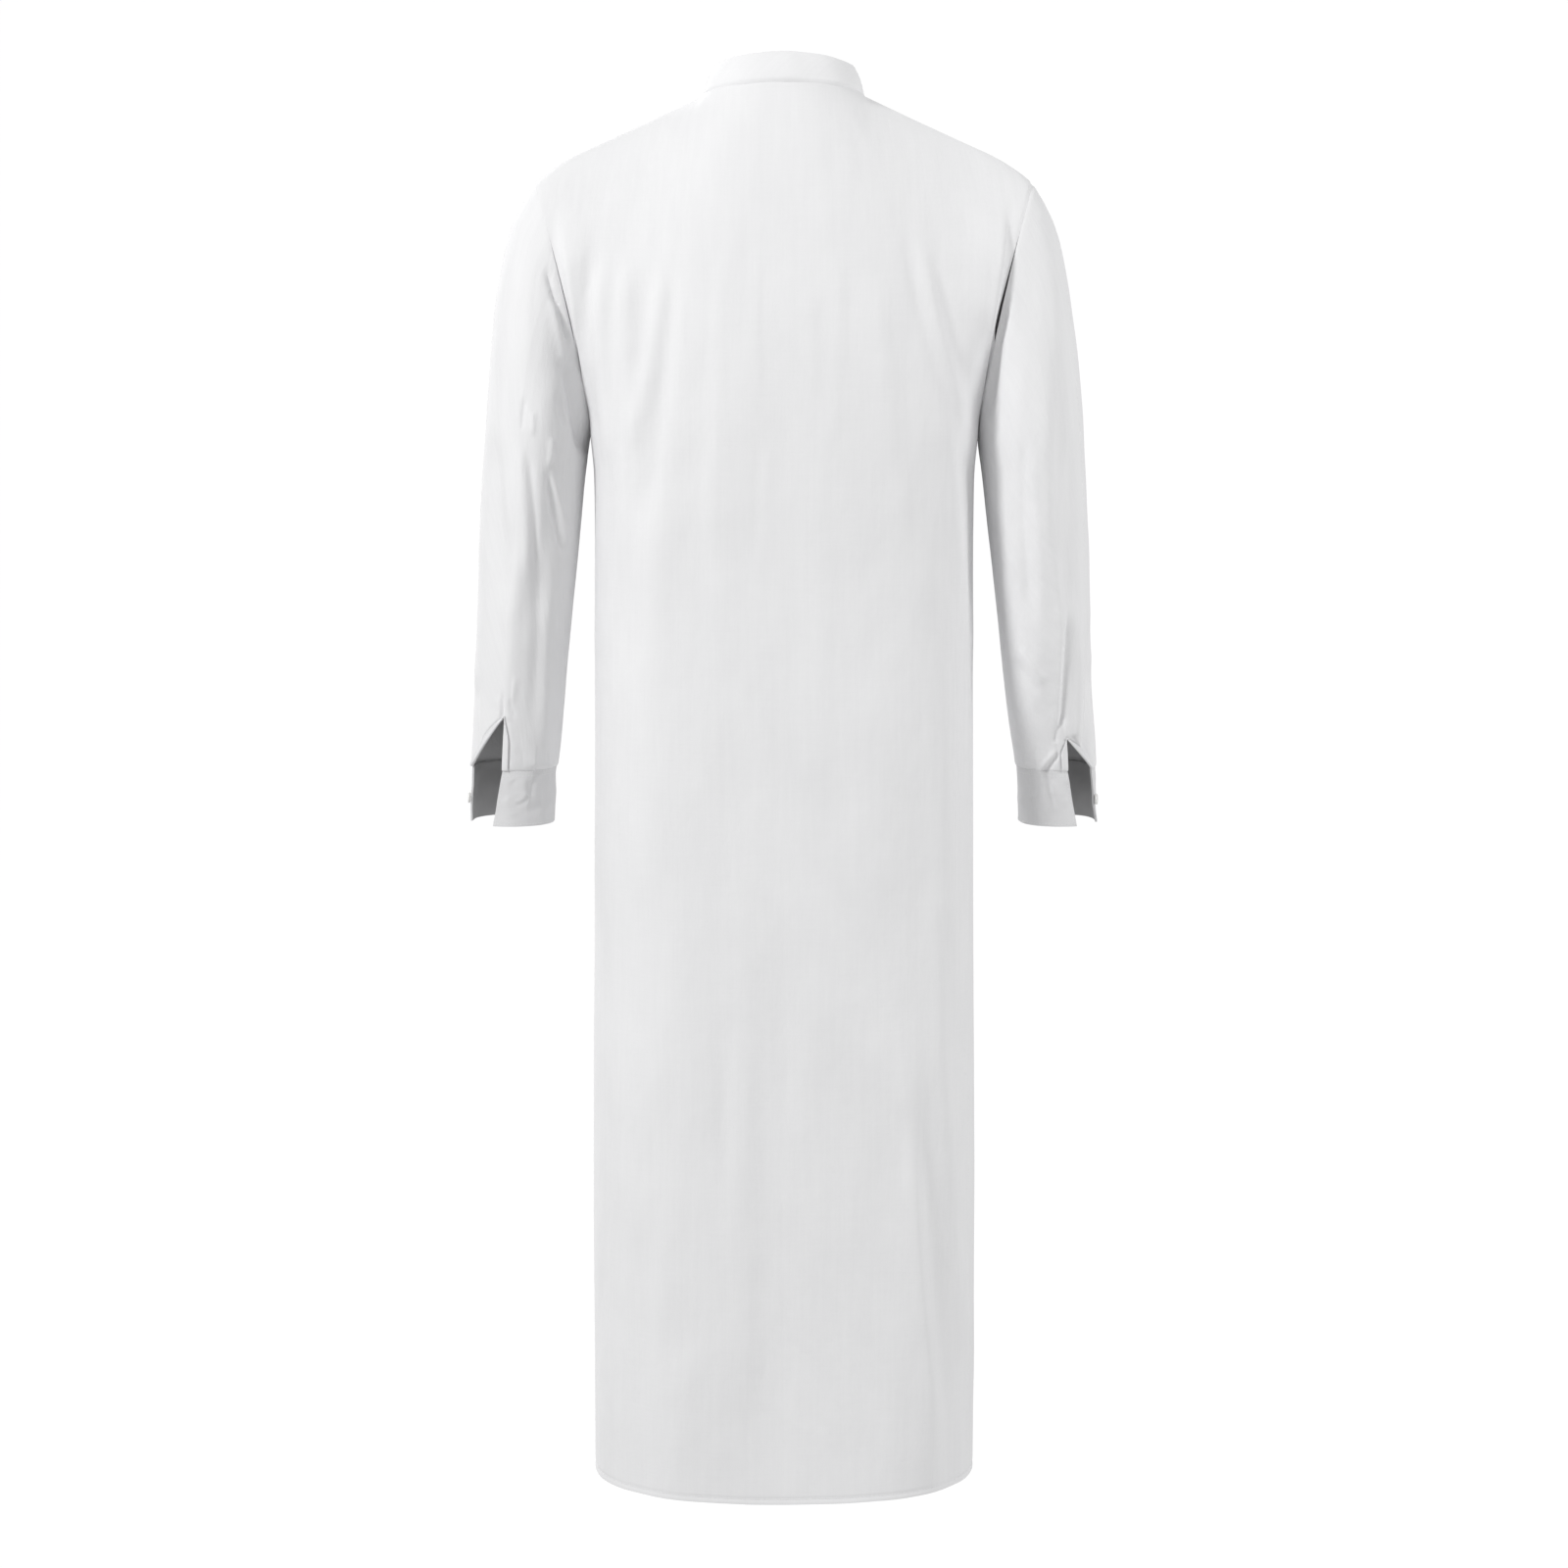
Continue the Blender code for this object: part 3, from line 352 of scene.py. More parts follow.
# %% Reading a table on a smooth curve
def column(columns, rows, name, at, level_top=False):
    """Reads a column of a table at places along its first column, on a curve through the rows. With level_top
    the curve reaches the highest row without a slope."""
    places = np.array([row[0] for row in rows])[::-1]
    values = np.array([row[columns.index(name)] for row in rows])[::-1]
    before = np.maximum(np.arange(len(places)) - 1, 0)
    after = np.minimum(np.arange(len(places)) + 1, len(places) - 1)
    slopes = (values[after] - values[before]) / (places[after] - places[before])
    slopes[-1] *= not level_top
    at = np.clip(np.asarray(at, float), places[0], places[-1])
    low = np.clip(np.searchsorted(places, at) - 1, 0, len(places) - 2)
    span = places[low + 1] - places[low]
    part = (at - places[low]) / span
    rise = values[low + 1] - values[low]
    bend = part * (1 - part) * span * (slopes[low] * (1 - part) - slopes[low + 1] * part)
    ease = part * part * (3 - 2 * part)
    return values[low] + rise * ease + bend


def mix(start, end, part):
    return start + (end - start) * part


def smooth(part):
    part = np.clip(part, 0.0, 1.0)
    return part * part * (3 - 2 * part)


def ease(at, span):
    """0 before the span, 1 beyond it."""
    return smooth((at - span[0]) / (span[1] - span[0]))


def bump(distance, width):
    """A soft hill, 1 at its middle."""
    return np.exp(-((distance / width) ** 2))


print("half width at the knee:", round(float(column(BODY_COLUMNS, BODY_ROWS, "half_width", -1.0)), 4))


# %% [markdown]
# ## Lines of the cut
#
# Three lines carry everything: the neck seam, the shoulder line and the armhole. An angle runs round the
# neck from the middle of the back, and round the armhole from the underarm over the back to the shoulder.
# The lower armhole sinks in, since worn cloth caves in under the arm.


# %% Neck, shoulder and armhole
def neck_points(angles):
    x = NECK_HALF * np.sin(angles)
    to_middle = np.abs(np.cos(angles))
    back = np.cos(angles) > 0
    y = np.where(back, FACES["back"]["neck_depth"], -FACES["front"]["neck_depth"]) * to_middle
    back_z = FACES["back"]["neck_z"] * to_middle ** FACES["back"]["neck_bow"]
    front_z = FACES["front"]["neck_z"] * to_middle ** FACES["front"]["neck_bow"]
    return np.stack((x, y, np.where(back, back_z, front_z)), axis=-1)


def shoulder_z(x):
    straight = -SHOULDER_SLOPE * (x - NECK_HALF)
    end = -SHOULDER_SLOPE * (SHOULDER_X - NECK_HALF)
    rounding = np.maximum(x - ROUNDING_X, 0.0) / (SHOULDER_X - ROUNDING_X)
    return straight + (SHOULDER_Z - end) * rounding**2


def armhole_y(angles):
    """Half the armhole's depth: positive over the back, negative over the front."""
    turned = np.degrees(np.arccos(np.cos(angles)))
    hollow = ARMHOLE_HOLLOW * bump(turned - HOLLOW_ANGLE, HOLLOW_WIDTH)
    return ARMHOLE_DEPTH * np.sin(angles) * (1 - hollow)


def armhole_points(angles):
    height = (1 - np.cos(angles)) / 2
    x = mix(UNDERARM_X, SHOULDER_X, height**ARMHOLE_CURVE)
    return np.stack((x, armhole_y(angles), mix(UNDERARM_Z, SHOULDER_Z, height)), axis=-1)


def top_points(face, us):
    """The top edge of a panel: the neck in its middle and a shoulder on each side."""
    to_side = np.minimum(np.abs(us) / NECK_SHARE, 1.0) * math.pi / 2
    neck = neck_points(to_side if face["sign"] > 0 else math.pi - to_side)
    outward = np.maximum(np.abs(us) - NECK_SHARE, 0.0) / (1 - NECK_SHARE)
    x = mix(NECK_HALF, SHOULDER_X, outward)
    shoulder = np.stack((x, np.zeros_like(x), shoulder_z(x)), axis=-1)
    points = np.where((outward > 0)[:, None], shoulder, neck)
    points[:, 0] *= np.sign(us)
    return points


around = armhole_points(np.linspace(0, 2 * math.pi, 200))
armhole_length = float(np.linalg.norm(np.diff(around, axis=0), axis=1).sum())
print(f"armhole all round: {armhole_length:.3f} m")

# %% [markdown]
# ## Panels
#
# A panel is a grid. Its rows (v) run from the hem at 0 through the underarm at 1 to the neck and shoulders
# at 2, and its columns (u) from side to side, -1 to 1. Below the underarm each row is a level section.
# Above it, rows turn step by step into the top edge, the shoulder rounds over like a roof, and a fold
# stands beside the armhole where the cloth has room to spare.


# %% A row of a panel
def section(face, us, z):
    half_width = column(BODY_COLUMNS, BODY_ROWS, "half_width", z, level_top=True)
    depth = "back_depth" if face["sign"] > 0 else "front_depth"
    depth = column(BODY_COLUMNS, BODY_ROWS, depth, z, level_top=True)
    turn = np.abs(us) * math.pi / 2
    x = half_width * np.sin(turn) ** (2 / SQUARENESS) * np.sign(us)
    y = depth * np.maximum(np.cos(turn), 0.0) ** (2 / SQUARENESS)
    return x, y


def panel_row(name, us, v):
    face = FACES[name]
    sign = face["sign"]
    if v <= 1:
        line_z = mix(HEM_SIDE_Z, UNDERARM_Z, v)
        x, y = section(face, us, line_z)
        z = line_z - face["hem_drop"] * np.cos(us * math.pi / 2) * (1 - v)
        return np.stack((x, sign * (y + SEAM_GAP / 2), z), axis=-1)
    angle = (v - 1) * math.pi
    height = (1 - math.cos(angle)) / 2
    low_x, low_y = section(face, us, UNDERARM_Z)
    top = top_points(face, us)
    x = mix(low_x, top[:, 0], height ** mix(INNER_CURVE, ARMHOLE_CURVE, np.abs(us) ** INNER_SPREAD))
    z = mix(UNDERARM_Z, top[:, 2], height)
    to_shoulder = smooth(np.abs(us) / NECK_SHARE)
    power = mix(NECK_HEIGHT_POWER, RIDGE_HEIGHT_POWER, to_shoulder)
    falling = np.maximum(1 - height**power, 0.0) ** mix(1.0, RIDGE_ROUNDING, to_shoulder)
    y = mix(np.abs(top[:, 1]), low_y, falling)
    turn = mix(np.abs(us) ** UNDERARM_POWER, np.abs(us) ** EDGE_POWER, ease(height, TURN_RISES))
    y += turn * abs(float(armhole_y(angle)))
    return np.stack((x, sign * (y + SEAM_GAP / 2), z), axis=-1)


def soften(grid):
    """Evens out the line that would run down from each corner of the neck. The panel's edges stay."""
    even = grid.copy()
    step = SOFT_STEP * (1 - ease(np.abs(PANEL_US), SOFT_SIDE))[None, 1:-1, None]
    for _ in range(SOFTENINGS):
        middle = (even[:, :-2] + even[:, 2:]) / 2
        even[:, 1:-1] += (middle - even[:, 1:-1]) * step
    share = ease(ROW_HEIGHTS, SOFT_FOOT) * (1 - ease(PANEL_VS, SOFT_TOP))
    return mix(grid, even, share[:, None, None])


def crest_shift(name):
    """How the fold beside the armhole moves each point: outward, and away from the body."""
    sides = np.abs(PANEL_US)[None, :]
    height = ROW_HEIGHTS[:, None]
    place = mix(CREST_LOW, CREST_HIGH, ease(height, CREST_MOVES))
    crest = bump(sides - place, np.where(sides > place, CREST_WIDTH, CREST_INNER_WIDTH))
    crest = crest * (1 - ease(sides, CREST_SEAM))
    outward = CREST_OUT * crest * ease(height, LEAN_RISES) * (1 - ease(height, LEAN_FALLS))
    away = CREST_UP[name] * crest * ease(height, CREST_RISES) * (1 - ease(height, CREST_FALLS))
    return np.stack((outward * np.sign(PANEL_US), away * FACES[name]["sign"], np.zeros_like(away)), axis=-1)


MIDDLE_FINER = 0.55  # how much closer the columns are at the middle, where a section is flat
CLOSE_COLUMNS = (0.0030, 0.0065, 0.0110)  # extra ones beside the side seams
HEM_ROW_STEP = 0.0011


def edge_columns(half_count):
    """Columns from -1 to 1, with a few more close to the side seams."""
    even = np.linspace(0, 1, half_count + 1)
    even = even * (1 - MIDDLE_FINER * (1 - even) ** 2)
    half = np.unique(np.concatenate((even, 1 - np.array(CLOSE_COLUMNS))))
    return np.concatenate((-half[:0:-1], half))


LOWER_ROWS = 120
UPPER_ROWS = 76
PANEL_US = edge_columns(80)
HEM_ROWS = np.arange(1, 9) * HEM_ROW_STEP / (UNDERARM_Z - HEM_SIDE_Z)  # extra rows for the hem's fold
LOWER_VS = np.unique(np.concatenate((np.linspace(0, 1, LOWER_ROWS, endpoint=False), HEM_ROWS)))
UNDERARM_ROW = len(LOWER_VS)
PANEL_VS = np.concatenate((LOWER_VS, np.linspace(1, 2, UPPER_ROWS + 1)))
ROW_HEIGHTS = (1 - np.cos(np.maximum(PANEL_VS - 1, 0) * math.pi)) / 2  # as shares of the armhole's height
print("a panel has", len(PANEL_US), "columns and", len(PANEL_VS), "rows")

# %% [markdown]
# ## Grids to meshes
#
# A grid's own neighbours give the way out of the cloth at each point. Folds move points along it. A piece
# is then the outer sheet with a Solidify modifier that grows inward, and a narrow Bevel that rounds the cut
# edges, so no rim looks like a cut plate. The `cloth` UV map is laid out in metres along the grid.


# %% Grids
def grid_out(grid, sign=1, closed_rows=None):
    """The way out of a sheet at each point of its grid. A closed row ends where it starts."""
    across = np.gradient(grid, axis=1)
    if closed_rows is not None:
        joined = (grid[closed_rows, 1] - grid[closed_rows, -2]) / 2
        across[closed_rows, 0] = across[closed_rows, -1] = joined
    along = np.gradient(grid, axis=0)
    out = sign * np.cross(along, across)
    length = np.linalg.norm(out, axis=-1, keepdims=True)
    return out / np.maximum(length, 1e-12)


def lengths(points, axis):
    steps = np.linalg.norm(np.diff(points, axis=axis), axis=-1)
    total = np.cumsum(steps, axis=axis)
    return np.insert(total, 0, 0.0, axis=axis)


def cloth_map(grid, middle=None):
    """Metres across and along the cloth at each point, from the middle row's lengths."""
    across = lengths(grid, 1)
    start = across[:, [0 if middle is None else middle]]
    return np.stack((across - start, lengths(grid, 0)), axis=-1)


def read_points(at, run, points):
    """Points of a line at distances along it."""
    return np.stack([np.interp(at, run, points[:, part]) for part in range(3)], axis=-1)


def add_mesh(name, points, faces, finish):
    mesh = bpy.data.meshes.new(name)
    mesh.from_pydata(points, [], faces)
    mesh.materials.append(finish)
    mesh.shade_smooth()
    thing = bpy.data.objects.new(name, mesh)
    scene.collection.objects.link(thing)
    return thing


EDGE_ANGLE = 62  # a bend sharper than this many degrees is a cut edge


def add_piece(name, grid, wall, finish, inside=None, open_column=None, uvs=None, bevel=0.35):
    """A thin cloth piece from the grid of its outer points. Points at one place become one, and an open
    column of cells is a slit."""
    points, index = np.unique(np.round(grid.reshape(-1, 3), 7), axis=0, return_inverse=True)
    index = index.reshape(grid.shape[:2])
    uvs = cloth_map(grid) if uvs is None else uvs

    def cells(values):
        corners = np.stack((values[:-1, :-1], values[1:, :-1], values[1:, 1:], values[:-1, 1:]), axis=2)
        if open_column is not None:
            corners = np.delete(corners, open_column, axis=1)
        return corners

    piece = add_mesh(name, points.tolist(), cells(index).reshape(-1, 4).tolist(), finish)
    layer = piece.data.uv_layers.new(name="cloth")
    layer.uv.foreach_set("vector", cells(uvs).astype(np.float32).ravel())
    solid = piece.modifiers.new("wall", "SOLIDIFY")
    solid.thickness = wall
    solid.offset = -1
    # An inside finish, where given, is a darker copy of the cotton on the inner faces: painted shade
    if inside:
        piece.data.materials.append(inside)
        solid.material_offset = 1
    round_off = piece.modifiers.new("round edges", "BEVEL")
    round_off.width = wall * bevel
    round_off.segments = 2
    round_off.limit_method = "ANGLE"
    round_off.angle_limit = math.radians(EDGE_ANGLE)
    return piece


def declare(piece, node):
    """Every piece rides on the garment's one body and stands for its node."""
    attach(piece, "root")
    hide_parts(node)
    return piece


def crumple(grid, swells):
    """Uneven small swells that no fold of a table makes: (size across, size along, rise) of each layer."""
    height = np.zeros(grid.shape[:2])
    for across, along, rise in swells:
        for place in np.ndindex(height.shape):
            x, y, z = grid[place]
            height[place] += rise * noise.noise((x / across, y / across, z / along))
    return height


print("grid helpers ready")

# %% [markdown]
# ## Folds of the panels
#
# Each fold is a row of a table: where its line starts and ends, seen from behind, how far it bows sideways,
# its width from crest to foot, and its height, below zero for a trough. They are set from the photo
# on the back, and the front gets like ones. Short creases stand in the same table with small widths.

# %% Fold tables
MM = 0.001
# Columns: x and z of the top, x and z of the bottom, bow, width and height, all in millimetres
FOLDS = {
    "back": (
        # the fan below the left armhole
        (181, -155, 172, -330, 4, 8, -2.4),
        (168, -175, 160, -360, 4, 9, 2.7),
        (146, -185, 140, -330, 3, 9, 2.4),
        (114, -185, 142, -345, -4, 8.5, 3.3),
        (104, -190, 126, -400, -3, 9, -2.1),
        (142, -345, 168, -520, -2, 11, 2.7),
        (128, -420, 128, -760, 4, 22, 3.9),
        # the middle of the back
        (56, -180, 60, -350, 2, 8, 1.5),
        (26, -170, 24, -300, 2, 6.5, 1.4),
        (22, -340, 28, -450, 1, 6, -1.2),
        (-50, -175, -46, -330, -2, 7.5, 1.5),
        (-24, -205, -28, -290, 1, 6, 1.2),
        (56, -330, 54, -620, 4, 16, 2.4),
        (-36, -340, -30, -640, 3, 15, 2.1),
        # the strong diagonals below the right armhole
        (-116, -160, -165, -330, 4, 7, -2.4),
        (-129, -170, -172, -345, 4, 8, 3),
        (-142, -165, -176, -300, 3, 8, -1.8),
        (-150, -325, -175, -520, 1, 8, 3.6),
        (-86, -200, -110, -420, 2, 12, 2.1),
        (-173.5, -350, -174.5, -520, 0, 3, -2.6),
        # the hollow between the right armhole's seam and the fold beside it
        (-214, -112, -208.5, -195, 0, 4, -7.5),
        (-206, -128, -201, -215, 0, 4.5, 2.6),
        # long soft folds of the skirt
        (100, -520, 88, -1100, 6, 30, 4.5),
        (52, -660, 56, -1030, 2, 13, -3.3),
        (34, -880, 34, -1220, 3, 13, 3.3),
        (4, -620, 0, -1000, 2, 20, -2.4),
        (146, -900, 150, -1290, -3, 20, 3.6),
        (126, -1060, 134, -1320, 3, 12, -2.7),
        (-50, -900, -36, -1330, 4, 26, -3.6),
        (-78, -560, -76, -1000, -4, 24, 3),
        (-116, -1000, -138, -1240, 4, 9.5, 3.9),
        (-128, -960, -154, -1300, 3, 10, -3.6),
        (-138, -780, -172, -1200, 3, 11, 4.2),
        (-150, -560, -160, -900, 3, 14, 3),
        (86, -1180, 98, -1330, 2, 16, 2.4),
        (-98, -1150, -104, -1330, 2, 15, 2.1),
    ),
    "front": (
        (178, -150, 150, -360, 4, 10, 3.9),
        (150, -170, 112, -390, 4, 9.5, -2.7),
        (120, -150, 80, -420, 3, 11, 3.3),
        (-180, -150, -152, -350, -4, 10, 3.6),
        (-154, -180, -120, -380, -4, 9, -3),
        (-112, -160, -78, -430, -3, 11, 3),
        (18, -350, 40, -640, 4, 14, 3),
        (-20, -345, -44, -600, -3, 13, 2.7),
        (64, -520, 76, -1320, 6, 24, 5.1),
        (30, -700, 28, -1320, 3, 16, -3.6),
        (-58, -600, -50, -1320, 5, 24, 4.8),
        (-18, -820, -14, -1320, 3, 15, 2.7),
        (-88, -760, -92, -1320, 3, 15, -3.3),
        (-124, -700, -134, -1320, 4, 18, 4.2),
        (112, -800, 108, -1320, 3, 15, -3.3),
        (142, -560, 150, -1320, 4, 20, 4.2),
    ),
}
# The broad folds that the solids have too
BROAD_FOLDS = {
    "back": (
        (196, -140, 166, -330, 0, 20, 4),
        (160, -165, 120, -480, 0, 30, 3),
        (118, -180, 150, -520, 0, 20, -3),
        (-196, -120, -168, -330, 0, 20, 4),
        (-126, -165, -166, -430, 0, 22, 2.2),
        (40, -200, 50, -420, 0, 30, 2.5),
        (56, -700, 50, -1240, 0, 28, 4.5),
        (10, -820, 4, -1260, 0, 28, -4),
        (-116, -900, -136, -1300, 0, 26, 4.5),
        (-75, -760, -80, -1300, 0, 26, -3.5),
        (128, -860, 122, -1300, 0, 28, 3.5),
    ),
    "front": (
        (190, -130, 150, -340, 0, 22, 4),
        (-190, -130, -154, -360, 0, 22, 4),
        (110, -150, 62, -430, 0, 26, 3),
        (-105, -160, -66, -400, 0, 26, 3),
        (64, -560, 74, -1300, 0, 30, 4.5),
        (-58, -640, -48, -1300, 0, 30, 4),
        (6, -700, 14, -1300, 0, 28, -4),
        (-122, -760, -130, -1300, 0, 26, 3.5),
        (132, -800, 128, -1300, 0, 28, 3),
    ),
}
FOLD_END = 0.15  # a fold sets in and runs out over this share of its length on both sides of its ends


def fold_ends(part):
    return smooth((part + FOLD_END) / (2 * FOLD_END)) * smooth((1 + FOLD_END - part) / (2 * FOLD_END))


def fold_height(rows, x, z):
    """The summed height of a table's folds at places seen from behind."""
    height = np.zeros_like(x)
    for x_top, z_top, x_bottom, z_bottom, bow, width, rise in np.array(rows) * MM:
        run_x, run_z = x_bottom - x_top, z_bottom - z_top
        length = math.hypot(run_x, run_z)
        part = ((x - x_top) * run_x + (z - z_top) * run_z) / length**2
        across = ((z - z_top) * run_x - (x - x_top) * run_z) / length - bow * 4 * part * (1 - part)
        height += rise * bump(across, width) * fold_ends(part)
    return height


print("folds:", {name: len(rows) + len(BROAD_FOLDS[name]) for name, rows in FOLDS.items()})

# %% [markdown]
# ## Back and front
#
# Close to a seam the cloth dips, because the seam's turned-in edges pull it down, and along the hem's
# stitches it dips a little too. The front is one piece that is slit at its middle from the neck to the
# breast.


# %% Panel grids
SEAM_DIP = 0.0011
SEAM_DIP_WIDTH = 0.0030
CUFF_DIP, CUFF_DIP_WIDTH = 0.0008, 0.0008  # a narrow line right at the cuff's seam
ARMHOLE_DIP = {"left": 0.0004, "right": 0.0018}  # the photo shows the right armhole's seam clearly
HEM_WIDTH = 0.0050
HEM_DIP, HEM_DIP_WIDTH = 0.0005, 0.0016
SLIT_HALF_GAP = 0.0012
SIDE_FADE = 10  # the power at which folds fade out towards the side seams
TOP_FADE = 1 / 3  # the share of the upper rows over which they fade out towards the top
SWELLS = ((0.055, 0.120, 0.0016), (0.022, 0.045, 0.0005))


def panel_grid(name):
    """The outer points of a panel and the way out at each."""
    sign = FACES[name]["sign"]
    grid = soften(np.array([panel_row(name, PANEL_US, v) for v in PANEL_VS])) + crest_shift(name)
    out = grid_out(grid, sign)
    x, z = grid[..., 0], grid[..., 2]
    us = np.abs(PANEL_US)[None, :]
    vs = PANEL_VS[:, None]
    fade = (1 - us**SIDE_FADE) * smooth((2 - vs) / TOP_FADE)
    height = fold_height(FOLDS[name], x, z) + fold_height(BROAD_FOLDS[name], x, z)
    height = (height + crumple(grid, SWELLS)) * fade
    from_side = lengths(grid, 1)
    from_side = np.minimum(from_side, from_side[:, -1:] - from_side)
    armhole_dip = np.where(x > 0, ARMHOLE_DIP["left"], ARMHOLE_DIP["right"])
    height -= np.where(vs > 1, armhole_dip, SEAM_DIP) * bump(from_side, SEAM_DIP_WIDTH)
    up = lengths(grid, 0)
    height -= HEM_DIP * bump(up - HEM_WIDTH, HEM_DIP_WIDTH)
    shoulder = (us > NECK_SHARE) * np.ones_like(vs)
    height -= SEAM_DIP * bump(up[-1:] - up, SEAM_DIP_WIDTH) * shoulder
    return grid + out * height[..., None], out


back_grid, back_out = panel_grid("back")
front_grid, front_out = panel_grid("front")
middle = len(PANEL_US) // 2
right_edge, left_edge = front_grid[:, middle].copy(), front_grid[:, middle].copy()
right_edge[UNDERARM_ROW + 1 :, 0] -= SLIT_HALF_GAP
left_edge[UNDERARM_ROW + 1 :, 0] += SLIT_HALF_GAP
edges = np.stack((right_edge, left_edge), axis=1)
slit_front = np.concatenate((front_grid[:, :middle], edges, front_grid[:, middle + 1 :]), axis=1)

back = add_piece("back_cloth", back_grid, WALL, COTTON_BACK, uvs=cloth_map(back_grid, middle))
front = add_piece("front_cloth", slit_front[:, ::-1], WALL, COTTON, open_column=middle)
declare(back, "back")
declare(front, "front")
print("panels:", len(back.data.polygons), "and", len(front.data.polygons), "faces before their walls")

# %% [markdown]
# ## Sleeves
#
# Rings run down a sleeve from the armhole to the cuff's seam. They lie aslant at the shoulder and turn
# level at the wrist. A ring starts at the near edge of the wrist slit and ends at its far edge; above the
# slit's top the two are one line. Folds are set on the back half from the photo, and the front half
# gets like ones. Most fade out towards the armhole and the slit, and two tables of their own hold those
# that run right up to them.

# %% Sleeve tables
SLIT_ANGLE = math.pi * 8 / 14
CUFF_HEIGHT = 0.0525
CUFF_END = {"middle_x": 0.2600, "half_width": 0.0405, "half_depth": 0.0425, "middle_y": -0.0400}
RINGS_ABOVE, RINGS_BELOW = 126, 26
BINDING_WIDTH = 0.0052
FINE_SHARE = 0.30  # the share of a ring, over the sleeve's back, that has finer columns
BINDING_TAPER, TAPER_START = (0.0, 0.45), 0.15  # its width grows down the slit, from this share of it
EDGE_PLACES = np.arange(0.0030, 0.0300, 0.0015)
RING_PLACES = np.unique(np.concatenate((
    np.linspace(0, FINE_SHARE, 96), np.linspace(FINE_SHARE, 1, 92), EDGE_PLACES, 1 - EDGE_PLACES
)))
EDGE_FADE = 0.07  # folds fade out over this share of a ring beside the slit
GROOVE, GROOVE_WIDTH = 0.0010, 0.0011  # where a binding's stitches pull the sleeve in
GROOVE_TOP, GROOVE_FOOT = (0.0, 0.125), 0.004  # it sets in below the slit's top and ends above the cuff
ARMHOLE_FADE = 0.030  # folds fade out over this length towards the armhole's seam
BACK_BLEND = (-0.25, 0.25)  # folds of the back half take over from the front's between these depths
CLOSE_RINGS = (0.0004, 0.0008, 0.0013, 0.0020, 0.0030)  # extra ones at both seams
ARMHOLE_WAY = (0.975, 0, -0.22)  # straight out of the armhole
CUFF_PLACES = np.concatenate(((0, 0.02, 0.05), np.linspace(0.08, 0.94, 32), (0.97, 0.985, 1)))
CUFF_SWELLS = ((0.030, 0.030, 0.0016), (0.012, 0.012, 0.0005))
CUFF_DENT_FADE = 0.008
TINY = 1e-9
SLIT_POWER = 1.08  # how straight the slit's far edge runs
PLEATS = (59, 38)  # angles of the pleats above the cuff
PLEAT_HEIGHT = 0.0034
PLEAT_LENGTH = 0.036
PLEAT_FOOT = 0.010
PLEAT_SPREAD = 17  # how far a pleat slopes away behind its fold, in degrees
PLEAT_STEP = 0.8  # half the width of its step, in degrees
PLEAT_AT_SEAM = 0.2  # the share of its height that is left in the seam

# The folds that the solids have too: middle angle, top, bottom, lean and width in degrees, and height
BROAD_SLEEVE_FOLDS = (
    (120, -0.340, -0.480, -25, 16, -0.0035),
    (62, -0.350, -0.500, 25, 18, -0.0030),
    (92, -0.300, -0.560, 8, 22, 0.0030),
    (250, -0.330, -0.500, 30, 20, -0.0035),
    (300, -0.300, -0.440, -20, 20, 0.0030),
)
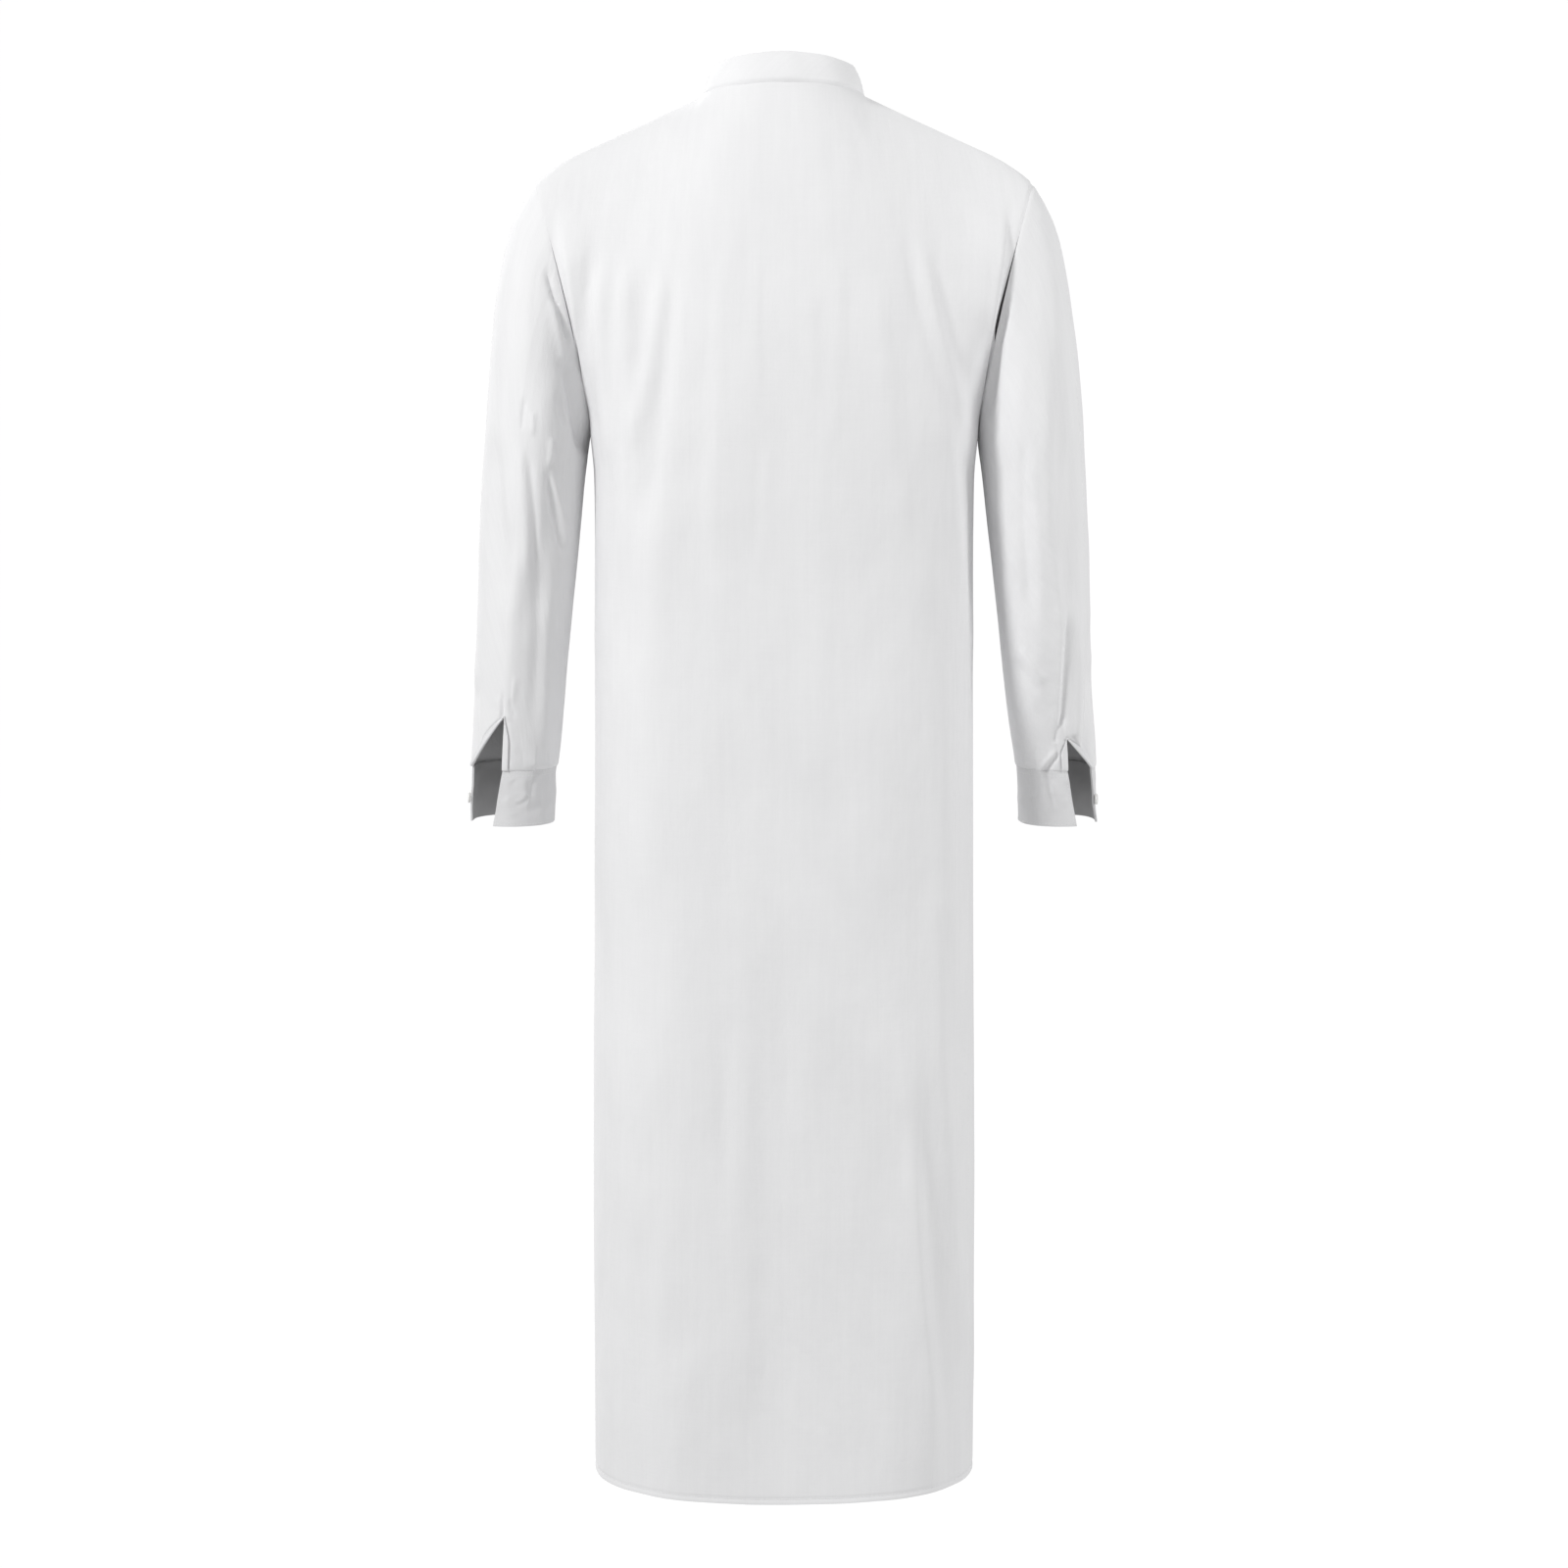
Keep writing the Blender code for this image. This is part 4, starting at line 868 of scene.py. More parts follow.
# Creases, as in the panels' tables, with x counted outward from the middle of the body
CREASES = {
    "left": {
        "back": (
            (241.8, -296, 244.1, -322, 0, 2.8, -1.4),
            (234, -308, 234, -327, 0, 2.6, 1.7),
            (211.5, -290, 204.2, -322, 1, 3.5, -2.5),
            (217.2, -332, 218.6, -356, 0, 3, 2),
            (238.5, -350, 232.8, -448, -2, 4, -2.5),
            (245.5, -345, 240, -455, -1, 5, 2),
            (220.5, -368, 207.9, -436, -1, 3.5, -3.1),
            (215, -366, 203, -432, -1, 3.5, 2.5),
            (262, -290, 256, -420, 3, 7, 1.7),
            (270, -400, 264, -560, 2, 9, -2),
            (248, -440, 260, -600, 3, 8, 2),
            (230, -440, 236, -590, -3, 7, -1.7),
            (220, -480, 226, -620, 2, 6, 2),
            (265.2, -570, 265, -588, 0, 1.8, -1.4),
            (270, -574, 267.2, -589, 0, 2, 1.4),
            (257.5, -576, 255.5, -590, 0, 2.8, -1.4),
            (260, -590, 253, -622, 2, 3, 1.2),
        ),
        "front": (
            (245, -300, 230, -400, 2, 6, -2.8),
            (230, -300, 215, -380, 2, 5.5, 3.1),
            (262, -360, 245, -520, 3, 8, 2.5),
            (236, -430, 248, -600, 2, 7, -2.5),
            (274, -440, 268, -610, 2, 7, 2),
        ),
    },
    "right": {
        "back": (
            (240, -95, 239, -125, 0, 3, 1.3),
            (245.5, -95, 244, -122, 0, 2.6, 1.3),
            (206, -184, 213, -204, 0, 2.2, -1.3),
            (205, -196, 211.5, -214, 0, 2.2, 1.3),
            (223, -528, 244, -556, 0, 4.5, 1.4),
            (217, -538, 238, -568, 0, 4, -1.4),
            (265.5, -500, 262.3, -598, -1, 3.2, -3.4),
            (276, -494, 274, -610, 0, 7, 3.6),
            (291, -506, 285, -628, 1, 3.4, -3.1),
            (254, -450, 258, -600, 2, 6, 2),
            (236, -320, 242, -500, 3, 9, 2),
            (256, -260, 252, -430, 3, 8, -1.7),
            (225, -340, 228, -480, -2, 6, -2),
            (264, -590, 256, -610, -1, 2.2, -1.8),
            (255.5, -610, 259.5, -629, 1, 2.6, -2),
            (260, -626, 244, -647, 0, 2.4, -2.4),
            (256, -624, 240, -645, 0, 3, 1.8),
            (265.5, -594, 268, -610, 0, 2, 1.4),
        ),
        "front": (
            (243, -310, 228, -410, 2, 6, -2.8),
            (228, -290, 216, -370, 2, 5.5, 3.1),
            (264, -370, 248, -510, 3, 8, 2.5),
            (238, -440, 250, -600, 2, 7, -2.5),
            (272, -430, 270, -600, 2, 7, 2),
        ),
    },
}


# Creases on the back that run right up to the armhole's seam
SEAM_CREASES = {
    "left": (
        (221.5, -176, 201, -240, 0, 2.6, -4.2),
        (215, -205, 204, -262, 1, 4, 2.2),
        (203, -262, 189, -338, 0, 6, -7.5),
    ),
    "right": (
        (206, -200, 192, -300, 0, 5, -5),
    ),
}
SEAM_CREASE_FADE = 0.006  # over this length below the armhole's seam they set in
# The hollow at the outer outline, just above the slit's far binding
SLIT_CREASES = {
    "left": (
        (294.5, -560, 293.5, -640, 0, 4.5, -4.5),
        (253, -555, 261, -588, 0, 4, 1.4),
    ),
    "right": (
        (294, -545, 287, -638, 0, 5, -6),
        (281, -520, 277, -615, 0, 6, 2),
    ),
}
SLIT_CREASE_FADE = (0.018, 0.034)  # they set in between these shares of a ring beside the slit

CUFF_CREASES = {
    "left": (
        (256, -651, 253, -662, 2, 3.7, -0.8),
        (253, -674, 242.5, -667, 1, 2, -0.7),
        (254.5, -671, 244, -664, 1, 2.8, 0.7),
        (248, -650, 245, -664, -1, 3.7, 0.8),
        (240, -652, 240, -664, 1, 3.1, -0.7),
        (234, -654, 235, -672, 1, 3.7, 0.6),
        (264, -668, 256, -684, 1, 5, 0.7),
        (248, -680, 230, -676, 1, 4.4, -0.5),
    ),
    "right": (
        (244, -655, 240, -668, 1, 3.7, -0.8),
        (256, -652, 254, -664, 1, 3.7, 0.7),
        (234, -666, 248, -676, 1, 3.1, -0.6),
        (262, -660, 258, -680, 1, 5, 0.6),
        (268, -654, 266, -668, 1, 3.7, -0.6),
    ),
}


# %% Sleeve grids
def ring_points(middle_z, angles, narrowing):
    """Points of the left sleeve's plain form, on rings with their middles at heights."""
    size = {name: column(SLEEVE_COLUMNS, SLEEVE_ROWS, name, middle_z) for name in SLEEVE_COLUMNS[1:]}
    wrist = smooth((UNDERARM_Z - middle_z) / (UNDERARM_Z - SLEEVE_ROWS[-1][0]))
    half_width = size["half_width"] - narrowing * wrist
    x = size["middle_x"] + narrowing * wrist - half_width * np.cos(angles)
    back = size["half_depth"] * np.sin(angles)
    z = middle_z - size["outer_rise"] * np.cos(angles) - size["back_fall"] * back
    return np.stack((x, size["middle_y"] + back, z), axis=-1)


def sleeve_fold_height(angles, z):
    height = np.zeros_like(z)
    for middle_angle, z_top, z_bottom, lean, width, rise in BROAD_SLEEVE_FOLDS:
        part = (z_top - z) / (z_top - z_bottom)
        across = np.mod(angles, 360) - middle_angle - lean * (part - 0.5)
        height += rise * bump(across, width) * fold_ends(part)
    return height


def pleat_height(angles, above_seam):
    """A pleat is a step at its fold, slopes away behind it and flattens into the seam."""
    height = np.zeros_like(angles)
    for pleat in PLEATS:
        ahead = np.mod(angles - pleat + 180, 360) - 180
        step = ease(ahead, (-PLEAT_STEP, PLEAT_STEP))
        height += PLEAT_HEIGHT * step * np.clip(1 - ahead / PLEAT_SPREAD, 0, 1)
    fade = mix(PLEAT_AT_SEAM, 1.0, smooth(above_seam / PLEAT_FOOT)) * (1 - smooth(above_seam / PLEAT_LENGTH))
    return height * fade


def binding_width(part):
    """How wide a binding is at shares of the slit's height, counted down from its top."""
    return BINDING_WIDTH * mix(TAPER_START, 1.0, ease(part, BINDING_TAPER))


def sleeve_rings(slit_z):
    """Heights of the rings' middles, closer together at both seams."""
    start_z, seam_z = SLEEVE_ROWS[0][0], SLEEVE_ROWS[-1][0]
    upper = np.linspace(start_z, slit_z, RINGS_ABOVE + 1)
    lower = np.linspace(slit_z, seam_z, RINGS_BELOW + 1)
    close = np.array(CLOSE_RINGS)
    return np.unique(np.concatenate((upper, lower, start_z - close, seam_z + close)))[::-1]


def sleeve_grid(name):
    """The sleeve's outer points as if it were the left one, the way out at each, and each ring's share of the
    slit's height.
    """
    sleeve = SLEEVES[name]
    start_z, seam_z = SLEEVE_ROWS[0][0], SLEEVE_ROWS[-1][0]
    heights = sleeve_rings(sleeve["slit_z"])[:, None]
    part = (sleeve["slit_z"] - heights) / (sleeve["slit_z"] - seam_z)
    end_angle = SLIT_ANGLE + math.radians(sleeve["open_seam"])
    edge_x = mix(math.cos(SLIT_ANGLE), math.cos(end_angle), np.maximum(part, 0) ** SLIT_POWER)
    opening = np.arccos(edge_x) - SLIT_ANGLE
    across = RING_PLACES[None, :]
    angles = mix(SLIT_ANGLE, SLIT_ANGLE + opening - 2 * math.pi, across)
    fade = np.maximum(1 - (start_z - heights) / (start_z - UNDERARM_Z), 0)[..., None] ** 2
    plain = ring_points(np.full_like(heights, start_z), angles, sleeve["narrowing"])
    grid = ring_points(heights, angles, sleeve["narrowing"]) + (armhole_points(angles) - plain) * fade
    shut = part[:, 0] <= TINY
    grid[shut, -1] = grid[shut, 0]
    out = grid_out(grid, closed_rows=shut)

    degrees = np.degrees(angles)
    z = grid[..., 2]
    height = sleeve_fold_height(degrees, z)
    on_back = ease(np.sin(angles), BACK_BLEND)
    for face, share in (("back", on_back), ("front", 1 - on_back)):
        height += fold_height(CREASES[name][face], grid[..., 0], z) * share
    height += crumple(grid * (sleeve["side"], 1, 1), SWELLS)
    height *= smooth((start_z - heights) / ARMHOLE_FADE)
    to_edge = np.minimum(across, 1 - across) / EDGE_FADE
    height *= np.where(part > 0, smooth(to_edge), 1.0)
    height += pleat_height(degrees, heights - seam_z)
    beside_slit = ease(np.minimum(across, 1 - across), SLIT_CREASE_FADE)
    height += fold_height(SLIT_CREASES[name], grid[..., 0], z) * on_back * beside_slit
    down = lengths(grid, 0)
    up = down[-1:] - down
    height += fold_height(SEAM_CREASES[name], grid[..., 0], z) * on_back * smooth(down / SEAM_CREASE_FADE)
    height -= ARMHOLE_DIP[name] * bump(down, SEAM_DIP_WIDTH)
    height -= SEAM_DIP / 2 * bump(up, SEAM_DIP_WIDTH) + CUFF_DIP * bump(up, CUFF_DIP_WIDTH)
    from_edge = lengths(grid, 1)
    from_edge = np.minimum(from_edge, from_edge[:, -1:] - from_edge)
    groove = GROOVE * bump(from_edge - binding_width(part) - GROOVE_WIDTH / 2, GROOVE_WIDTH)
    height -= groove * ease(part, GROOVE_TOP) * smooth((heights - seam_z) / GROOVE_FOOT)
    height[shut, -1] = height[shut, 0]
    grid = grid + out * height[..., None]
    grid[0] += SEAM_GAP * np.array(ARMHOLE_WAY)
    return grid, out, part[:, 0]


def on_side(grid, side):
    """A grid for its side of the body. The right one is mirrored, and its columns turn to keep their face."""
    return grid if side > 0 else (grid * (-1, 1, 1))[:, ::-1]


def cuff_grid(name, seam_ring):
    """The cuff's outer points: its upper edge is the sleeve's last ring, and its near end turns outward."""
    sleeve = SLEEVES[name]
    near = SLIT_ANGLE + math.radians(sleeve["turn"])
    far = near + math.radians(sleeve["open_end"]) - 2 * math.pi
    angles = mix(near, far, RING_PLACES)
    half_width = CUFF_END["half_width"] - sleeve["narrowing"]
    back = CUFF_END["half_depth"] * np.sin(angles)
    x = CUFF_END["middle_x"] + sleeve["narrowing"] - half_width * np.cos(angles)
    seam_z, back_fall = SLEEVE_ROWS[-1][0], SLEEVE_ROWS[-1][-1]
    end = np.stack((x, CUFF_END["middle_y"] + back, seam_z - CUFF_HEIGHT - back_fall * back), axis=-1)
    return mix(seam_ring[None], end[None], CUFF_PLACES[:, None, None])


sleeve_pieces = {}
for name, sleeve in SLEEVES.items():
    side = sleeve["side"]
    grid, out, part = sleeve_grid(name)
    cuff = cuff_grid(name, grid[-1])
    cuff_out = grid_out(cuff)
    dents = crumple(cuff * (side, 1, 1), CUFF_SWELLS)
    dents += fold_height(CUFF_CREASES[name], cuff[..., 0], cuff[..., 2]) * (cuff_out[..., 1] > 0)
    from_seam = lengths(cuff, 0)
    cuff = cuff + cuff_out * (dents * smooth(from_seam / CUFF_DENT_FADE))[..., None]
    sleeve_pieces[name] = dict(grid=grid, out=out, part=part, cuff=cuff, cuff_out=cuff_out)
    # The inner faces of sleeve and cuff get the darker finishes, which are painted shade
    piece = add_piece(f"sleeve_{name}_cloth", on_side(grid, side), WALL, COTTON, SLEEVE_INSIDE_PAINTED_SHADE)
    band = add_piece(f"cuff_{name}_band", on_side(cuff, side), BAND_WALL, COTTON_CUFF_PAINTED_SHADE, CUFF_INSIDE_PAINTED_SHADE)
    declare(piece, f"sleeve_{name}")
    declare(band, f"cuff_{name}")
    print(name, "sleeve:", len(piece.data.polygons), "faces, cuff:", len(band.data.polygons))

# %% [markdown]
# ## Collar
#
# A folded band stands on the neck seam and leans in, highest at the back. Its ends meet over the front's
# slit.

# %% Collar
COLLAR_RISE = {"back": 0.0262, "side": 0.0232, "front": 0.0240}
COLLAR_LEAN = {"back": 0.0100, "side": 0.0090, "front": 0.0080}
COLLAR_BOW = 0.0010  # how far the band swells out at half its height
COLLAR_SWELLS = ((0.028, 0.028, 0.0012),)
COLLAR_END_GAP = 0.0020
COLLAR_PLACES, COLLAR_ROWS = 180, 22
COLLAR_TUCK, TUCK_DEPTH = 0.16, 0.0014  # the seam's edge, out of sight behind the panels
COLLAR_FOLDS = (  # as in the panels' tables: the band bends a little right of its middle
    (-2, 30, -6, 4, 0, 12, 1.3),
    (-30, 28, -34, 3, 0, 14, -0.6),
)

collar_end = math.pi - COLLAR_END_GAP / NECK_HALF
collar_angles = np.linspace(-collar_end, collar_end, COLLAR_PLACES + 1)[None, :]
collar_parts = np.insert(np.linspace(0, 1, COLLAR_ROWS + 1), 0, -COLLAR_TUCK)[:, None]
to_middle = np.cos(collar_angles) ** 2
behind = np.cos(collar_angles) > 0


def collar_size(sizes):
    return mix(sizes["side"], np.where(behind, sizes["back"], sizes["front"]), to_middle)


swell = COLLAR_BOW * np.sin(math.pi * collar_parts) - TUCK_DEPTH * (collar_parts < 0)
outward = swell - collar_size(COLLAR_LEAN) * np.maximum(collar_parts, 0)
rise = collar_size(COLLAR_RISE) * collar_parts
base = neck_points(collar_angles[0])[None]
offset = np.stack((np.sin(collar_angles) * outward, np.cos(collar_angles) * outward, rise), axis=-1)
collar_grid = base + offset
collar_out = grid_out(collar_grid)
collar_height = crumple(collar_grid, COLLAR_SWELLS)
collar_height += fold_height(COLLAR_FOLDS, collar_grid[..., 0], collar_grid[..., 2]) * behind
collar_grid = collar_grid + collar_out * collar_height[..., None]
collar = add_piece("collar_band", collar_grid[:, ::-1], BAND_WALL, COTTON_BAND, bevel=0.25)
declare(collar, "collar")
print("collar faces:", len(collar.data.polygons))

# %% [markdown]
# ## Placket
#
# The photo shows only the back. A kaftan with a close collar needs an opening, so a plain placket covers
# the front's slit. It is made from the front's own points, moved out.

# %% Placket
PLACKET_WIDTH = 0.030
STRIP_WALL = 0.0010
STRIP_GAP = 0.0004
PLACKET_ACROSS = 15
PLACKET_ROW = UNDERARM_ROW - 2

placket_xs = np.linspace(-PLACKET_WIDTH / 2, PLACKET_WIDTH / 2, PLACKET_ACROSS)
behind_placket = list(zip(front_grid, front_out))[PLACKET_ROW:-1]
placket_grid = np.array([read_points(placket_xs, row[:, 0], row) for row, _ in behind_placket])
placket_out = np.array([read_points(placket_xs, row[:, 0], ways) for row, ways in behind_placket])
placket_grid = placket_grid + placket_out * (STRIP_WALL + STRIP_GAP)
placket = add_piece("placket_band", placket_grid[:, ::-1], STRIP_WALL, COTTON_BAND)
declare(placket, "placket")
print("placket length:", round(float(lengths(placket_grid, 0)[-1, PLACKET_ACROSS // 2]), 3))

# %% [markdown]
# ## Slit bindings
#
# Each edge of a wrist slit is bound with a folded strip. Its profile runs from the outer face round the
# slit's edge to the inner face, so it stands a little proud on both.

# %% Bindings
BINDING_WALL = 0.0005
BINDING_PROUD = 0.0005
BINDING_PROFILE = (  # (distance from the slit's edge, level: 1 outside the cloth, -1 inside it)
    (1.00, 1.0), (0.94, 1.0), (0.70, 1.0), (0.45, 1.0), (0.20, 1.0), (0.04, 0.9), (-0.08, 0.5), (-0.11, 0.0),
    (-0.08, -0.5), (0.04, -0.9), (0.20, -1.0), (0.45, -1.0), (0.70, -1.0), (0.94, -1.0), (1.00, -1.0),
)


def binding_grid(parts, first, second):
    """The strip round an edge of the slit. first and second are the edge's column and one further in."""
    rows = np.flatnonzero(parts["part"] > TINY)
    rows = np.concatenate(((rows[0] - 1,), rows))
    rim, inner = parts["grid"][rows, first], parts["grid"][rows, second]
    way = inner - rim
    way /= np.linalg.norm(way, axis=1, keepdims=True)
    out = parts["out"][rows, first]
    half = WALL / 2 + BINDING_WALL + BINDING_PROUD
    middle_line = rim - out * WALL / 2
    width = binding_width(parts["part"][rows])[:, None]
    strip = [middle_line + way * width * away + out * half * level for away, level in BINDING_PROFILE]
    strip = np.stack(strip, axis=1)
    strip[-1, :, 2] += SEAM_GAP
    return strip


for name, sleeve in SLEEVES.items():
    parts = sleeve_pieces[name]
    parts["binding"] = {}
    for edge, first, second in (("near", 0, 3), ("far", -1, -4)):
        strip = binding_grid(parts, first, second)
        parts["binding"][edge] = strip
        strip = strip if edge == "near" else strip[:, ::-1]
        strip = on_side(strip, sleeve["side"])[:, ::-1]
        piece = add_piece(f"binding_{name}_{edge}_band", strip, BINDING_WALL, COTTON_BAND)
        declare(piece, f"binding_{name}_{edge}")
        print(piece.name, "is", round(float(lengths(strip, 0)[-1, 0]), 4), "m long")
print("bindings of", ", ".join(sleeve_pieces))

# %% [markdown]
# ## Stitches
#
# Every stitch is a small spindle that sinks into the cloth at both ends. A row of them follows a line that
# lies at a distance from a piece's edge. Rows close every edge that a sewing machine has to close: the hem,
# the cuffs and the collar all round, the placket and the bindings.

# %% Stitch rows
STITCH, STITCH_SPACE = 0.0023, 0.0008
STITCH_RADIUS = 0.00022
STITCH_SIDES = 6
# Rings of a stitch: (share of its length, share of its radius, height in radii)
STITCH_RINGS = ((0.0, 0.4, -0.7), (0.15, 0.9, 0.1), (0.5, 1.0, 0.45), (0.85, 0.9, 0.1), (1.0, 0.4, -0.7))


def inset(grid, out, distance, axis=0, from_end=False):
    """The line over a sheet at a distance from one of its edges, and the ways out along it."""
    if from_end:
        grid, out = np.flip(grid, axis), np.flip(out, axis)
    if axis == 1:
        grid, out = grid.transpose(1, 0, 2), out.transpose(1, 0, 2)
    run = lengths(grid, 0)
    points, ways = [], []
    for place in range(grid.shape[1]):
        points.append(read_points(distance, run[:, place], grid[:, place]))
        ways.append(read_points(distance, run[:, place], out[:, place]))
    return np.array(points), np.array(ways)


def add_stitches(name, node, lines):
    """One mesh of all stitches on the lines of a piece, with no stitch at a line's two ends."""
    vertices, faces = [], []
    turns = np.arange(STITCH_SIDES) / STITCH_SIDES * 2 * math.pi
    for line in lines:
        run = lengths(line[0], 0)
        for place in np.arange(STITCH_SPACE, run[-1] - STITCH, STITCH + STITCH_SPACE):
            at = place + STITCH * np.array([ring[0] for ring in STITCH_RINGS])
            centres, ways = (read_points(at, run, values) for values in line)
            ways = ways / np.linalg.norm(ways, axis=1, keepdims=True)
            side = np.cross(centres[-1] - centres[0], ways)
            side /= np.linalg.norm(side, axis=1, keepdims=True)
            first = len(vertices)
            for centre, way, beside, (_, thick, level) in zip(centres, ways, side, STITCH_RINGS):
                for turn in turns:
                    push = way * (level + thick * math.sin(turn)) + beside * thick * math.cos(turn)
                    vertices.append(tuple(centre + push * STITCH_RADIUS))
            starts = [first + row * STITCH_SIDES for row in range(len(STITCH_RINGS))]
            rings = [list(range(start, start + STITCH_SIDES)) for start in starts]
            for low, high in zip(rings, rings[1:]):
                for number in range(STITCH_SIDES):
                    after = (number + 1) % STITCH_SIDES
                    faces.append((low[number], low[after], high[after], high[number]))
            faces += [rings[0][::-1], rings[-1]]
    return declare(add_mesh(name, vertices, faces, THREAD_WHITE), node)


def mirror_line(line, side):
    flip = np.array((side, 1, 1))
    return line[0] * flip, line[1] * flip


EDGE_STITCH = 0.0022  # how far a row lies from its piece's edge
CUFF_SEAM_STITCHES = (0.0012, 0.0052)
BINDING_STITCH = 0.0012
add_stitches("back_hem_stitches", "back", [inset(back_grid, back_out, HEM_WIDTH)])
add_stitches("front_hem_stitches", "front", [inset(front_grid, front_out, HEM_WIDTH)])
shown, shown_out = collar_grid[1:], collar_out[1:]  # all but the tucked-in edge
collar_lines = [inset(shown, shown_out, EDGE_STITCH, 0, end) for end in (False, True)]
collar_lines += [inset(shown, shown_out, EDGE_STITCH, 1, end) for end in (False, True)]
add_stitches("collar_stitches", "collar", collar_lines)
placket_lines = [inset(placket_grid, placket_out, EDGE_STITCH, 1, end) for end in (False, True)]
placket_lines.append(inset(placket_grid, placket_out, EDGE_STITCH, 0))
add_stitches("placket_stitches", "placket", placket_lines)
for name, sleeve in SLEEVES.items():
    cuff, out = sleeve_pieces[name]["cuff"], sleeve_pieces[name]["cuff_out"]
    cuff_lines = [inset(cuff, out, distance) for distance in CUFF_SEAM_STITCHES]
    cuff_lines.append(inset(cuff, out, EDGE_STITCH, 0, True))
    cuff_lines += [inset(cuff, out, EDGE_STITCH, 1, end) for end in (False, True)]
    cuff_lines = [mirror_line(line, sleeve["side"]) for line in cuff_lines]
    add_stitches(f"cuff_{name}_stitches", f"cuff_{name}", cuff_lines)
    for edge, strip in sleeve_pieces[name]["binding"].items():
        out = grid_out(strip)
        if np.sum(out[:, 3] * sleeve_pieces[name]["out"][-1, 0]) < 0:
            out = -out
        line = mirror_line(inset(strip, out, BINDING_STITCH, 1), sleeve["side"])
        add_stitches(f"binding_{name}_{edge}_stitches", f"binding_{name}_{edge}", [line])

# %% [markdown]
# ## Buttons
#
# Each button is turned from a profile, with four holes pressed into its dish and two bars of thread over
# them.

# %% Buttons
BUTTON_RADIUS = 0.0058
BUTTON_HEIGHT = 0.0024
BUTTON_ROWS = (1.15, 1.37, 1.58, 1.80)
BUTTON_TURNS, BUTTON_RINGS = 72, 22
HOLE_PLACE = 0.24  # of the radius, across and up
HOLE_RADIUS, HOLE_DEPTH = 0.13, 0.8
HOLE_SHARPNESS = 6
BUTTON_UNDERSIDE = ((0.99, 0.32), (0.92, 0.08), (0.80, 0.0), (0.40, 0.0), (0.02, 0.0))
DISH_LEVEL = 0.68  # of the height, inside the rim
DISH_RIM, RIM_ROUNDING = (0.52, 0.76), (0.86, 1.0)  # where the rim rises and where it rounds off
RIM_DROP = 0.45  # how far it has come down at its edge
BAR = STITCH + 2 * STITCH_SPACE  # room for one stitch over two holes
CUFF_BUTTON_SIZE = 0.9
CUFF_BUTTON_COLUMN = -10  # counted from the cuff's far end


def add_button(name, place, way, size):
    angles = np.linspace(0, 2 * math.pi, BUTTON_TURNS + 1)
    parts = np.linspace(BUTTON_UNDERSIDE[-1][0], 1, BUTTON_RINGS)
    rim = ease(parts, DISH_RIM) * (1 - RIM_DROP * ease(parts, RIM_ROUNDING))
    profile = list(zip(parts, DISH_LEVEL + (1 - DISH_LEVEL) * rim))
    profile += BUTTON_UNDERSIDE
    distance = np.array([row[0] for row in profile])[:, None]
    level = np.array([row[1] for row in profile])[:, None] * np.ones_like(angles)[None]
    x, y = distance * np.cos(angles), distance * np.sin(angles)
    to_hole = np.hypot(np.abs(x) - HOLE_PLACE, np.abs(y) - HOLE_PLACE)
    hole = np.exp(-((to_hole / HOLE_RADIUS) ** HOLE_SHARPNESS))
    level[:BUTTON_RINGS] *= 1 - HOLE_DEPTH * hole[:BUTTON_RINGS]
    scales = np.array((BUTTON_RADIUS, BUTTON_RADIUS, BUTTON_HEIGHT)) * size
    grid = np.stack((x, y, level), axis=-1) * scales
    points, index = np.unique(np.round(grid.reshape(-1, 3), 8), axis=0, return_inverse=True)
    index = index.reshape(grid.shape[:2])
    corners = np.stack((index[:-1, :-1], index[:-1, 1:], index[1:, 1:], index[1:, :-1]), axis=2)[..., ::-1]
    faces = corners.reshape(-1, 4).tolist() + [index[0, :-1].tolist(), index[-1, :-1][::-1].tolist()]
    button = add_mesh(f"{name}_pearl", points.tolist(), faces, PEARL)
    button.location = place
    turned = Vector(way).to_track_quat("Z", "Y")
    button.rotation_euler = turned.to_euler()
    bars = []
    for side in (-1, 1):
        across = side * HOLE_PLACE * BUTTON_RADIUS * size
        ends = [Vector((across, end, DISH_LEVEL * BUTTON_HEIGHT * size)) for end in (-BAR / 2, BAR / 2)]
        bars.append((np.array([Vector(place) + turned @ end for end in ends]), np.array([way, way])))
    add_stitches(f"{name}_thread", name, bars)
    return declare(button, name)


middle_place = PLACKET_ACROSS // 2
for number, v in enumerate(BUTTON_ROWS, start=1):
    row = int(np.abs(PANEL_VS - v).argmin()) - PLACKET_ROW
    way = placket_out[row, middle_place]
    add_button(f"button_{number}", placket_grid[row, middle_place] + way * SEAM_GAP, way, 1.0)
for name, sleeve in SLEEVES.items():
    cuff, out = sleeve_pieces[name]["cuff"], sleeve_pieces[name]["cuff_out"]
    row, place = len(cuff) // 2 + 2, CUFF_BUTTON_COLUMN
    flip = np.array((sleeve["side"], 1, 1))
    way = out[row, place] * flip
    add_button(f"cuff_button_{name}", cuff[row, place] * flip + way * SEAM_GAP * 2, way, CUFF_BUTTON_SIZE)
print("buttons:", len(BUTTON_ROWS) + len(SLEEVES))

# %% [markdown]
# ## Stage and light
#
# The photo is cut out on pure white, so the floor runs up far behind in one curve and glows white. A large
# soft light stands high on the photo's left, a weaker one keeps the right side from falling dark, and a
# third one lights the front, which the photo's camera can't see.

# %% Stage
FLOOR_Z = -1.62
STAGE_FRONT, STAGE_BACK, STAGE_HALF, STAGE_TOP = 3.6, -9.0, 5.0, 3.4
BEND, BEND_STEPS = 1.0, 12

